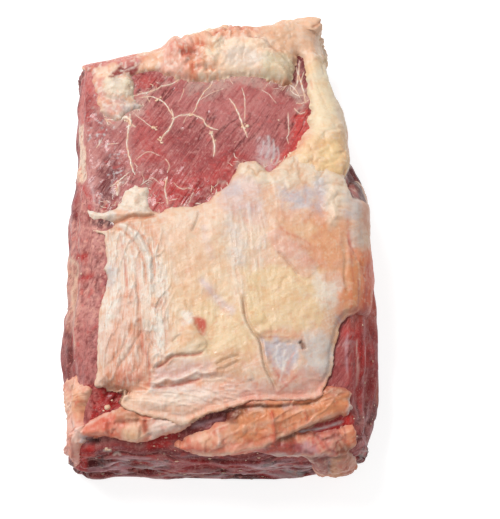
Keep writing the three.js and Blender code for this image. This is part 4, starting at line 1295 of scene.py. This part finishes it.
        # Under the tab fold, the orange and near-black streaks are painted shade on its lower side.
        (skinFolds["tab"], "orange", 1.6, 0.9), ("90.7,222.5 100,223 108,223.5", "hollow", 2.4, 0.95),
        (skinFolds["cordLeft"], "orange", 1.1, 0.8), (skinFolds["cordRight"], "orange", 1, 0.8),
        (skinFolds["cord"], "white", 2.4, 0.9),
        ("151,303 153,307 158,307 161,302 159,297", "orange", 1, 0.8),
        ("165,262 167,290 169,325", "white", 1.2, 0.7),
        ("125.4,271 127,284 128.5,297", "orange", 1.6, 0.7), ("132.5,243 132.5,256", "orange", 1.4, 0.6),
        ("136.6,276 139.7,315 140.7,332", "orange", 1.6, 0.7),
        ("140.7,332 136.6,342 130.5,352 124.4,360 115.2,372.6", "orange", 1.4, 0.75),
        (skinFolds["leftOuter"], "orange", 1.3, 0.6), (skinFolds["leftInner"], "stain", 1.3, 0.6),
        # The red-brown lines along the pocket's lower border and under the crumpled lip are painted shadow
        # lines.
        (skinFolds["pocket"], "stain", 1, 0.8), ("150,378 172,374 196,366 215,366", "pink", 3, 0.4),
        ("152,388 167,385.5 179.5,384 195.8,379.5 206,375.5", "stain", 0.9, 0.7),
        (skinFolds["long"], "tan", 1.2, 0.9), (skinFolds["longCrest"], "cream", 2.4, 0.7),
        ("298,374 288,384 276,394", "stain", 1, 0.6), ("272,366 280,378 290,390", "red", 1, 0.5),
        ("290,352 284,366 279,384", "white", 1, 0.7), ("293,331 298,337 302,330", "orange", 1.6, 0.6),
        ("299.8,341 303,345 304,350", "shade", 1.6, 0.9), ("277,345 276,360 282,371", "white", 1.2, 0.6),
        ("283,372 283.5,356 286,348", "white", 0.8, 0.7), ("284,373 291,358 296,350", "pink", 1, 0.7),
        ("268,350 275,366 282,374", "pink", 1.4, 0.7),
        ("260,340 266,334 276,332 288,334 299,337", "salmon", 2.4, 0.7),
        ("262,338 275,337 290,338", "stain", 0.8, 0.5), ("120,232 124,260 128,290", "stain", 1, 0.5),
        ("112,300 124,296 134,300", "orange", 1.6, 0.5), ("148,360 150,380 146,386", "stain", 1.4, 0.6),
        ("164,300 165,330 168,350", "orange", 1, 0.5),
        ("150,383 159,381.5 167,378 173,379.5 186,376.5 197,371 204,373 215,371", "white", 1.6, 0.85),
        ("152,368 160,361 168,356 177,352.5", "white", 1.8, 0.8),
        ("178,338 183,328 185,318", "white", 1.4, 0.6),
        ("278,224 287,234 303.6,240.5 312.6,248.2", "stain", 1, 0.45),
        ("276.8,252 288,263 299.8,276.2", "tan", 1, 0.6), (skinFolds["side"], "tan", 1.3, 0.8),
        (skinFolds["sideLow"], "stain", 1, 0.5), ("364,272 367,290 368,308", "lean", 1.6, 0.6),
        ("357,276 359,294 360,310", "lean", 1.4, 0.6), ("350,284 352,298 352,310", "coral", 1.4, 0.5),
        ("346,214 348,236 351,262 354,290", "stain", 1, 0.5),
        ("352,250 358,268 360,290", "cream", 1, 0.5), ("366,262 370,280 370,300", "stain", 1.2, 0.4),
        ("342,162 346,176 344,196", "white", 1.2, 0.7), ("349,164 351,182 350,200", "white", 1.5, 0.85),
        ("353,172 357,186 360,198", "rose", 1, 0.7), ("335,186 333,204 336,222", "cream", 1.6, 0.6),
        ("199,276 210.5,291.5 223.3,304.3 238.6,314.5", "mauve", 4.2, 0.75),
        ("204,222 206,240 214,262", "mauve", 3, 0.45), ("162,220 170,250 178,290", "white", 2, 0.3),
        ("176,222 186,250 190,280", "peach", 2.6, 0.4),
        ("333.6,361 331.7,372.7 326.6,383 322.8,391.8", "tan", 2.2, 0.8),
        ("349,302 345.7,314 340.6,324 336.8,341 333.6,353.6", "tan", 1.8, 0.7),
        ("320,398 293.4,401.4 264,401.4 246.2,403.3 236,407 223.6,410.4 209,413.5"
         " 184.5,424", "tan", 1.6, 0.6),
        ("334,315 340,318 344,322", "silver", 2, 0.7),
    ],
}

skin = fatBlanket("skinSheet", skinMarks)


def nearness(blanket, text, reach):
    mask = np.zeros(len(blanket.flat))
    near, distance, share, side = nearPath(blanket.flat, lineThrough(flatPath(text, onEdge), 4), reach)
    mask[near] = 1 - smooth(reach * 0.6, reach, distance)
    return mask


skinX, skinY = skin.flat.T
freeEdge = np.maximum(nearness(skin, skinMarks["lip"], 12), 0.75 * nearness(skin, skinMarks["leftLip"], 8))
hang = smooth(0.1, 0.5, skin.ring)
fading = smooth(-20, -58, skinY) * smooth(140, 150, skinX)
swelling = 1.3 * layered(skin.even, 40, 73) + 0.9 * layered(skin.even, 15, 75)
leftPart, frontPart = (skin.mask(skinMarks[name], 8, 0, 0) for name in ("leftPart", "frontPart"))
skinBody = (skinMarks["thickness"] + swelling - 5.5 * hang - 3 * frontPart) * (1 - 0.85 * fading)
lyingOn = 0.6 + 4.2 * smooth(-130, -148, skinY)
sunk = skin.sunkEdge(skinBody, 3.0 - 2 * fading, 8)
skin.height = skin.lipEdge(sunk, freeEdge * (1 - fading), skinMarks["lipThickness"], lyingOn)
for wash in skinMarks["washes"]:
    skin.wash(*wash)
away = smooth(0, 4, -skin.outside)
skin.wall = np.clip(0.15 + 0.7 * leftPart + 0.2 * frontPart, 0, 1)
crumpled = leftPart * smooth(-102, -112, skinX)
fibres = skin.mask(skinMarks["fibres"], 6, 4, 3) * away
areas = {"combed": (leftPart - crumpled) * away, "left": leftPart * away, "crumpled": crumpled * away,
         "middle": np.clip(1 - leftPart - frontPart, 0, 1) * away, "front": frontPart * away, "all": away,
         "fibres": fibres}
for area, degrees, size, stretch, height, seed, crest, valley, tone in skinMarks["wrinkles"]:
    skin.wrinkle(degrees, size, stretch, height, areas[area], seed, crest, valley, tone)
skin.blend(0.4 * fibres, "mauve")
knobbly = np.maximum(*(skin.mask(text, 5, 4, 2) for text in skinMarks["knobbly"])) * away
skin.blend(0.5 * knobbly, "ivory")
skin.height += 1.6 * skin.lumps(11, 99, "tan", 0.6, knobbly) + knobbly * 0.4 * layered(skin.even, 4, 90)
crusty = skin.mask(skinMarks["crusty"], 3, 3, 2)
skin.height += 0.8 * skin.lumps(4.5, 89, "tan", 0.7, crusty)
dressFat(skin, skinMarks)
skin.speckle("cream", 2.4, 0.4, 0.3, 57, (1 - fading) * (1 - hang))
skin.speckle("salmon", 3.2, 0.5, 0.3, 58, 1 - fading)
outer = hang * smooth(-12, -28, skinY) * smooth(100, 110, skinX)
skin.colour *= 1 - outer[:, None] * [-0.05, 0.22, 0.32]
skin.colour *= np.array([0.95, 0.98, 1.01]) + frontPart[:, None] * [0.07, 0.0, -0.01]
skinSheet = skin.build(skinLook)
print("skin ready")

# The pads of fat on the front cut, and the one at its left corner.
frontMarks = {
    "cell": 0.75, "colour": "salmon", "wander": 1.1, "wanderSize": 7, "thickness": 5.5,
    "flankThin": 0, "grainAngle": 20,
    "washes": [("peach", 0.6, 12, 87), ("coral", 0.4, 8, 90), ("cream", 0.5, 6, 91)],
    "outline": ("174,449 178,445 182,446 186,440 191,437 200,433 209,429 215,424 222,422 226,419"
                " 223,413 216,410 226,402 246,393 264,391 293,391 318,389 326,385 340,386 348,388"
                " 353,393 351,400 355,407 351,413 340,416 322,422 308,428.5 295,434 306,435.5 318,435"
                " 328,433.5 342,429 353,425.5 358,430 358,440 356,447 350,455 357,460 355,468 350,472"
                " 338,473 324,473 314,474 312,466 306,460 298,459 285,458.5 272,457.5 262,455 250,455"
                " 236,457.5 222,457 208,458 196,456 186,453"),
    "ridges": [
        ("205,456 236,451 262,445 276,437 295,432 322,420 348,410", 2, 2.4),
        ("270.8,408 272.6,420 274.5,434 273,446", 2.4, 1.8), ("304,408 306,415 307,422", 1.4, 1.4),
        ("318,444 326,451 338,449", 1.4, 5), ("262,452 280,451 296,448", 1.8, 4),
        ("216,432 219,440 217,446", 2, 2.5), ("194,446 206,448", 1.5, 4), ("316,468 328,468", 2, 4),
        ("336,468 350,466", 2.6, 5), ("236,428 260,422 290,416", 1.8, 7), ("336,392 352,396", 1.5, 5),
    ],
    "grooves": [
        ("190,430 205,419 225,412.5 248,406.5 276,406.5 307,403.5 324,401.5", 2.4, 2),
        ("278,441 290,437.5 298,437", 2.6, 2), ("314,437 325,442 338,438 346,441", 1.2, 1.4),
        ("330,460 329,468 330,475", 2, 1.3), ("297,460 320,459 356,456", 1.6, 1.6),
        ("236,412 240,424", 1, 1.6), ("339,430 341,440", 1.4, 1.2),
    ],
    "blots": [
        ("240,408 350,394 352,408 290,430 246,440 215,446 205,440 236,424", "apricot", 0.8, 5, 5),
        ("188,438 232,428 232,452 194,454", "cream", 0.55, 5, 5),
        ("186,448 240,444 262,450 236,456 196,456", "coral", 0.4, 4, 5),
        ("214,404 244,404 243,417 222,420", "shade", 0.5, 3, 3),
        ("222,411 240,410 237,419 224,420", "maroon", 0.65, 2, 2.5),
        ("228,402 262,400 262,409 230,412", "shade", 0.35, 3, 3),
        ("262,420 300,410 296,430 264,440", "orange", 0.4, 5, 5),
        ("282,436 297,435 294,446 283,446", "shade", 0.8, 2.5, 2),
        ("296,446 317,445 317,456 298,456", "ash", 0.75, 3, 3),
        ("257,446 296,442 296,457 262,457", "brown", 0.65, 3, 3),
        ("314,435 348,435 346,455 318,454", "rose", 0.5, 3, 4),
        ("340,427 358,427 357,447 346,449", "apricot", 0.4, 3, 3),
        ("338,446 356,446 354,458 338,458", "shade", 0.7, 3, 4),
        ("254,455 300,456 366,451 366,461 300,464 258,462", "silver", 0.5, 2.5, 3),
        ("312,458 330,458 330,474 314,474", "deep", 0.65, 2.5, 3),
        ("331,459 356,459 356,475 332,476", "tan", 0.8, 3, 3),
        ("338,462 356,460 356,476 344,476", "pale", 0.6, 4, 4),
        ("324,385 352,388 350,398 328,398", "shade", 0.5, 4, 4),
        ("348,396 359,398 358,414 350,414", "silver", 0.8, 2, 2.5),
    ],
    "streaks": [
        # The near-black line just under the skin's lip is its painted shadow.
        ("190,429 205,418 225,411.5 248,405.5 276,405.5 307,402.5 324,400.5", "hollow", 1.3, 0.8),
        ("186,454 205,457 236,452 262,446 276,438 295,433 322,421 348,411", "cream", 1.8, 0.75),
        ("262,449 276,441 296,437", "maroon", 1.1, 0.7),
        ("270.8,408 272.6,420 274.5,434 273,446", "stain", 1.7, 0.9),
        ("304,408 306,415 307,422", "coral", 1.2, 0.6), ("339.7,441 348,451.4", "cream", 1.2, 0.7),
        ("315,437 322,450 334,454", "cream", 1, 0.5), ("268,456 285,457 300,457", "silver", 1.4, 0.6),
        # The white line on the small ridge at the left is a painted highlight.
        ("216,430 219.5,438 218,446", "white", 1.2, 0.7), ("247,410 256,408 264,410", "white", 1.4, 0.7),
        ("282,408 292,406 300,408", "mauve", 2.2, 0.6), ("330,460 329,468 330,475", "silver", 1.2, 0.7),
        ("262,453 270,448 284,445 296,448", "deep", 1, 0.7),
        ("300,437 318,437 334,434 350,428", "deep", 1.2, 0.7),
        ("313,436 325,442 337,438 347,442", "maroon", 1, 0.7),
        ("325,442 329,449 340,453", "deep", 1, 0.7), ("296,447 305,452 316,455", "deep", 1.2, 0.6),
        ("345,430 346,440 343,450", "deep", 1, 0.6), ("324,458.5 340,457.5 356,455", "maroon", 1, 0.6),
        ("222,438 236,434 258,429", "deep", 0.9, 0.4), ("186,449 205,452 222,449", "stain", 1.2, 0.6),
        # The shade line and the near-black line in the slit are painted shade.
        ("236,447 262,439 290,429", "shade", 0.9, 0.5), ("296,436 322,425 344,416", "hollow", 0.9, 0.6),
        ("284,414 300,411 318,409", "cream", 1.6, 0.5), ("240,430 262,424 284,417", "cream", 1.8, 0.5),
    ],
}
cornerMarks = {
    "cell": 0.75, "colour": "salmon", "wander": 1.1, "wanderSize": 7, "thickness": 5.5,
    "flankThin": 4, "grainAngle": 8,
    "washes": [("peach", 0.6, 12, 87), ("coral", 0.4, 8, 90), ("cream", 0.5, 6, 91)],
    "outline": ("mm -172,-124 -140,-124|74,384 84,386 90,389 86,398 81,408 78,418 79,425 84,424 92,423"
                " 100,418.5 109.4,413 119.3,408 130,404 146,407 164,410 184,414 193,419 190,425 182,431"
                " 172,434 159,437.5 147,443 139,444.5 123,443 112,440 99.5,437.5 88,438 80,438.5 84,443"
                " 79,447 77.5,458 77,468 72,465|mm -140,-198 -168,-184"),
    "ridges": [
        ("124,436 132,435 140,437", 2.6, 6), ("110,418 124,414 138,414", 1.6, 4),
        ("150,434 164,429 178,425", 1.8, 4), ("84,432 96,430 108,430", 2, 5),
        ("80,424 92,422 101,417.5 110,412", 1.4, 2), ("66,396 67,416 69,440", 1.2, 5),
    ],
    "grooves": [
        ("112,424 126,424 142,422", 1.8, 1.8), ("144,420 146,430 150,440", 1.8, 1.4),
        ("76,400 77,416 78,434", 1.2, 1.4), ("112,438 114,430", 1.2, 1.4),
        ("66,420 70,432 74,446", 1.2, 1.6),
    ],
    "blots": [
        ("80,420 118,411 122,440 82,440", "coral", 0.5, 4, 5),
        ("84,430 98,426 100,436 86,437", "salmon", 0.5, 3, 3),
        ("90,420 108,418 106,430 92,430", "stain", 0.45, 3, 4),
        ("116,410 146,410 145,419 118,420", "tan", 0.5, 3, 3),
        ("118,411 140,411 140,416 120,418", "shade", 0.25, 3, 3),
        ("121,429 130,427 141,429 144,438 138,444 126,443 120,437", "cream", 0.8, 2.5, 2),
        ("124,431 138,431 140,440 128,442", "yellow", 0.5, 3, 2),
        ("141,419 147,419 148,432 142,432", "stain", 0.5, 1.6, 1.6),
        ("148,417 188,419 182,431 150,442", "white", 0.8, 4, 5),
        ("58,384 92,384 80,424 62,424", "cream", 0.6, 5, 6),
        ("64,392 78,394 80,420 70,420", "apricot", 0.6, 4, 6),
        ("60,420 78,420 77,470 62,470", "pink", 0.6, 4, 5),
        ("66,424 76,430 76,446 68,446", "white", 0.6, 3, 5),
        ("62,450 76,450 76,472 64,472", "pink", 0.5, 3, 6),
        ("77,438 86,438 84,446 77,446", "silver", 0.9, 1.6, 1.6),
    ],
    "streaks": [
        ("79,424.5 88,424.5 99,418.5 109,413.5 119,409.5", "white", 1.1, 0.7),
        ("70,404 76,401 80,402", "stain", 1.3, 0.7), ("66,404 66,420 67,432", "deep", 1.2, 0.5),
        ("68,436 71,452 74,468", "deep", 1.2, 0.5), ("160,420 152,432", "white", 1.2, 0.6),
        ("172,420 164,431", "white", 1.2, 0.6), ("100,419 108,424 116,423", "stain", 1.5, 0.6),
    ],
}


def padPiece(name, marks):
    blanket = fatBlanket(name, marks)
    lumps = 2.0 * blanket.lumps(14, 83, "coral", 0.45) + 0.6 * blanket.lumps(6, 85, "stain", 0.25) - 0.8
    body = marks["thickness"] + 3.5 * smooth(-165, -188, blanket.flat[:, 1]) + lumps
    onFlank = smooth(0.1, 0.4, blanket.ring) * (blanket.flat[:, 0] < -120)
    blanket.height = blanket.sunkEdge(body - marks["flankThin"] * onFlank, 2.0, 5)
    blanket.wall += 0.35
    for wash in marks["washes"]:
        blanket.wash(*wash)
    within = smooth(0, 3, -blanket.outside)
    blanket.wrinkle(marks["grainAngle"], 4.5, 5, 0.7, within, 86, "cream", "stain", 0.55)
    dressFat(blanket, marks)
    blanket.speckle("cream", 3.0, 0.45, 0.3, 57)
    blanket.speckle("stain", 3.0, 0.5, 0.3, 58)
    blanket.colour *= [1.0, 0.87, 0.87]
    return blanket.build(lumpLook)


frontFat = padPiece("frontFat", frontMarks)
cornerFat = padPiece("cornerFat", cornerMarks)
print("pads ready")


# A Geometry Nodes tree with named inputs: {name: (socket type, value)}.
class Grower(NodeMaker):
    def __init__(self, name, inputs):
        self.tree = bpy.data.node_groups.new(name, "GeometryNodeTree")
        self.tree.is_modifier = True
        self.tree.interface.new_socket("Geometry", in_out="INPUT", socket_type="NodeSocketGeometry")
        self.tree.interface.new_socket("Geometry", in_out="OUTPUT", socket_type="NodeSocketGeometry")
        self.values = {}
        for label, (kind, value) in inputs.items():
            socket = self.tree.interface.new_socket(label, in_out="INPUT", socket_type=kind)
            self.values[socket.identifier] = value
        source = self.tree.nodes.new("NodeGroupInput")
        self.entry = {socket.name: Wire(self, socket) for socket in source.outputs}
        self.exit = self.tree.nodes.new("NodeGroupOutput")

    # Roughens the geometry a little, makes it real and gives it its material.
    def close(self, geometry):
        entry = self.entry
        wave = self.add("ShaderNodeTexNoise", {}, {"Scale": entry["Grain"], "Detail": 2.0}, 1)
        centred = self.add("ShaderNodeVectorMath", {"operation": "SUBTRACT"}, {0: wave, 1: (0.5, 0.5, 0.5)})
        scale = {0: centred, "Scale": entry["Unevenness"]}
        offset = self.add("ShaderNodeVectorMath", {"operation": "SCALE"}, scale)
        solid = self.add("GeometryNodeRealizeInstances", {}, {0: geometry})
        moved = self.add("GeometryNodeSetPosition", {}, {"Geometry": solid, "Offset": offset})
        shaded = self.add("GeometryNodeSetShadeSmooth", {}, {"Geometry": moved})
        real = self.add("GeometryNodeRealizeInstances", {}, {0: shaded})
        made = self.add("GeometryNodeSetMaterial", {}, {"Geometry": real, "Material": entry["Material"]})
        self.fill(self.exit, {0: made})

    def grow(self, name, source):
        bpy.context.scene.collection.objects.link(source)
        modifier = source.modifiers.new("grow", "NODES")
        modifier.node_group = self.tree
        for identifier, value in self.values.items():
            modifier[identifier] = value
        bpy.context.view_layer.update()
        evaluated = source.evaluated_get(bpy.context.evaluated_depsgraph_get())
        mesh = bpy.data.meshes.new_from_object(evaluated)
        bpy.data.objects.remove(source)
        piece = bpy.data.objects.new(name, mesh)
        bpy.context.scene.collection.objects.link(piece)
        print(name, len(mesh.polygons), "faces")
        return piece


threadSizes = {"Thickness": ("NodeSocketFloat", 1 * mm), "Sides": ("NodeSocketInt", 6),
               "Spacing": ("NodeSocketFloat", 1.2 * mm), "Grain": ("NodeSocketFloat", 420.0),
               "Unevenness": ("NodeSocketFloat", 0.9 * mm), "Material": ("NodeSocketMaterial", threadLook)}
noduleSizes = {"Radius": ("NodeSocketFloat", 1 * mm), "Grain": ("NodeSocketFloat", 500.0),
               "Unevenness": ("NodeSocketFloat", 0.6 * mm), "Material": ("NodeSocketMaterial", noduleLook)}


# Thin strands: paths of points in space, each with its half width in mm.
def threadPiece(name, strands):
    grower = Grower("strands", threadSizes)
    entry = grower.entry
    spaced = {"Curve": entry["Geometry"], "Length": entry["Spacing"]}
    even = grower.add("GeometryNodeResampleCurve", {"mode": "LENGTH"}, spaced)
    hoop = {"Resolution": entry["Sides"], "Radius": entry["Thickness"]}
    ring = grower.add("GeometryNodeCurvePrimitiveCircle", {}, hoop)
    width = grower.add("GeometryNodeInputRadius")
    tube = grower.add("GeometryNodeCurveToMesh", {}, {
        "Curve": even, "Profile Curve": ring, "Scale": width, "Fill Caps": True})
    grower.close(tube)
    curve = bpy.data.curves.new(name, "CURVE")
    curve.dimensions = "3D"
    for points, widths in strands:
        spline = curve.splines.new("POLY")
        spline.points.add(len(points) - 1)
        for knot, point, half in zip(spline.points, points, widths):
            knot.co = (*(point * mm), 1)
            knot.radius = half
    return grower.grow(name, bpy.data.objects.new("strandPaths", curve))


# Small flat lumps: points in space, the directions that they face, and their half widths in mm.
def nodulePiece(name, points, facing, sizes, look):
    grower = Grower("nodules", {**noduleSizes, "Material": ("NodeSocketMaterial", look)})
    entry = grower.entry
    ball = grower.add("GeometryNodeMeshIcoSphere", {}, {"Radius": entry["Radius"], "Subdivisions": 1})
    size = grower.add("GeometryNodeInputNamedAttribute", {"data_type": "FLOAT_VECTOR"}, {"Name": "size"})
    way = grower.add("GeometryNodeInputNamedAttribute", {"data_type": "FLOAT_VECTOR"}, {"Name": "facing"})
    turn = grower.add("FunctionNodeAlignRotationToVector", {"axis": "Z"}, {"Vector": way})
    lumps = grower.add("GeometryNodeInstanceOnPoints", {}, {
        "Points": entry["Geometry"], "Instance": ball, "Rotation": turn, "Scale": size})
    grower.close(lumps)
    mesh = bpy.data.meshes.new(name)
    mesh.from_pydata((points * mm).tolist(), [], [])
    for label, values in (("size", sizes), ("facing", facing)):
        stored = mesh.attributes.new(label, "FLOAT_VECTOR", "POINT")
        stored.data.foreach_set("vector", np.asarray(values, np.float32).ravel())
    return grower.grow(name, bpy.data.objects.new("nodulePlaces", mesh))


# Finds the nearest finished point of a blanket to a place laid flat.
class Rider:
    def __init__(self, blanket):
        self.blanket = blanket
        self.tree = KDTree(len(blanket.flat))
        for k, (x, y) in enumerate(blanket.flat):
            self.tree.insert((x, y, 0), k)
        self.tree.balance()

    def at(self, flats):
        found = [self.tree.find((x, y, 0))[1] for x, y in flats]
        return self.blanket.place[found], self.blanket.normal[found]


# Stray threads of tissue that reach from the fat's edge over the lean.
def strayStrands(rider):
    dice = np.random.RandomState(veins["seed"])
    strands = []
    for text in veins["borders"]:
        line = lineThrough(flatPath(text, onLean), 12)
        for k in range(veins["strays"]):
            start = line[dice.randint(len(line))] + dice.normal(0, 1.6, 2)
            turns = dice.uniform(0, 2 * math.pi) + np.cumsum(dice.normal(0, 0.22, dice.randint(3, 8)))
            path = start + np.cumsum(1.4 * np.stack([np.cos(turns), np.sin(turns)], -1), axis=0)
            strands.append(strand(rider, path, dice.uniform(0.12, 0.42)))
    return strands


def strand(rider, flats, half):
    dice = np.random.RandomState(len(flats))
    bent = flats + 0.3 * np.stack([noise(flats, 3, 5), noise(flats, 3, 6)], -1)
    points, normals = rider.at(bent)
    uneven = lineThrough(dice.uniform(0.45, 1.35, (len(flats) // 4 + 3, 1)), 8)[:, 0]
    widths = half * np.sin(np.linspace(0.25, math.pi - 0.25, len(flats))) ** 0.5 * uneven[:len(flats)]
    return points - normals * (0.15 * half), widths


windowRider = Rider(windowBlanket)
strands = [strand(windowRider, lineThrough(flatPath(text, onLean), 6), half * 0.8)
           for text, half in veins["paths"]]
leanThreads = threadPiece("leanThreads", strands + strayStrands(windowRider))


# Every grain of fat is a small cluster of flat lumps.
def clusters(rider):
    dice = np.random.RandomState(veins["seed"] + 1)
    flats, sizes = [], []
    for text, radius in veins["blobs"]:
        middle = flatPath(text, onLean)[0]
        for k in range(5):
            flats.append(middle + dice.normal(0, 0.5 * radius, 2))
            sizes.append(radius * dice.uniform(0.3, 0.75) * np.array([1, dice.uniform(0.6, 1), 0.4]))
    return (*rider.at(flats), sizes)


leanNodules = nodulePiece("leanNodules", *clusters(windowRider), noduleLook)


# Grains of fat scattered over the cut walls, and a few at set places: pixels and half widths in mm.
grains = {"count": 420, "seed": 5,
          "set": [("107,407.3", (3.2, 2.7, 1.8)), ("107.5,450", (3.4, 1.1, 0.7)),
                  ("111.5,399", (1.5, 1.1, 0.7)), ("104,411", (1.2, 0.8, 0.5))]}


def wallGrains():
    dice, count = np.random.RandomState(grains["seed"]), grains["count"]
    weight = bodyBlanket.wall * (bodyBlanket.ring < 0.97) * (bodyBlanket.ring > 0.1)
    chosen = dice.choice(len(weight), count, replace=False, p=weight / weight.sum())
    size = dice.uniform(0.35, 1.2, count) ** 1.3
    shape = np.stack([size * dice.uniform(1, 2.2, count), size, size * 0.4], -1)
    setPlaces = np.vstack([flatPath(text, onLean) for text, half in grains["set"]])
    points, normals = Rider(bodyBlanket).at(setPlaces)
    return nodulePiece("wallGrains", np.vstack([bodyBlanket.place[chosen], points]),
                       np.vstack([bodyBlanket.normal[chosen], normals]),
                       np.vstack([shape, [half for text, half in grains["set"]]]), noduleLook)


wallPieces = wallGrains()
print("threads and nodules ready")

for piece, node, slot in [
        (leanBody, "lean", "lean"), (leanWindow, "lean", "lean"), (leanThreads, "lean", "cap_fat"),
        (leanNodules, "lean", "cap_fat"), (wallPieces, "lean", "cap_fat"), (backFat, "fat_cap", "cap_fat"),
        (skinSheet, "fat_cap", "cap_fat"), (frontFat, "front_fat", "pad_fat"),
        (cornerFat, "corner_fat", "pad_fat")]:
    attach(piece, "root")
    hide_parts(node)

# Floor, light and camera.
studio = {"floorSize": 6, "keySize": 1.1, "keyPower": 42, "keyPlace": (-0.8, 0.75, 1.8), "world": 0.55,
          "glintSize": 0.14, "glintPower": 5, "glintPlace": (-0.5, 0.6, 1.9), "floorGlow": 0.8}


def floorPiece():
    shader = Shader("paleFloor")
    grain = shader.noise(shader.place((1, 1, 1)), 40, 2)
    rough = shader.ranged(grain, 0.2, 0.8, 0.85, 0.95)
    look = shader.finish({"Base Color": (0.35, 0.35, 0.35, 1), "Roughness": rough,
                          "Emission Color": (1, 1, 1, 1), "Emission Strength": studio["floorGlow"]})
    size = studio["floorSize"]
    corners = [(-size, -size, 0), (size, -size, 0), (size, size, 0), (-size, size, 0)]
    mesh = bpy.data.meshes.new("floor")
    mesh.from_pydata(corners, [], [(0, 1, 2, 3)])
    mesh.materials.append(look)
    piece = bpy.data.objects.new("floor", mesh)
    bpy.context.scene.collection.objects.link(piece)


def softLight(name, place, size, power, aim=(0, 0, 0.05)):
    light = bpy.data.lights.new(name, "AREA")
    light.shape, light.size, light.energy = "DISK", size, power
    holder = bpy.data.objects.new(name, light)
    holder.location = place
    holder.rotation_euler = (Vector(aim) - Vector(place)).to_track_quat("-Z", "Y").to_euler()
    bpy.context.scene.collection.objects.link(holder)


def studioCamera():
    camera = bpy.data.cameras.new("camera")
    camera.lens, camera.sensor_width = photo["lens"], photo["sensor"]
    camera.clip_start, camera.clip_end = 0.05, 50
    holder = bpy.data.objects.new("camera", camera)
    holder.location = Vector(cameraPlace * mm)
    holder.rotation_euler = Vector(sight).to_track_quat("-Z", "Y").to_euler()
    bpy.context.scene.collection.objects.link(holder)
    bpy.context.scene.camera = holder


floorPiece()
softLight("key", studio["keyPlace"], studio["keySize"], studio["keyPower"])
softLight("glint", studio["glintPlace"], studio["glintSize"], studio["glintPower"])
studioCamera()
world = bpy.data.worlds.new("studio")
world.use_nodes = True
world.node_tree.nodes["Background"].inputs["Color"].default_value = (1, 1, 1, 1)
world.node_tree.nodes["Background"].inputs["Strength"].default_value = studio["world"]
bpy.context.scene.world = world
bpy.context.scene.view_settings.view_transform = "Standard"
print("studio ready")
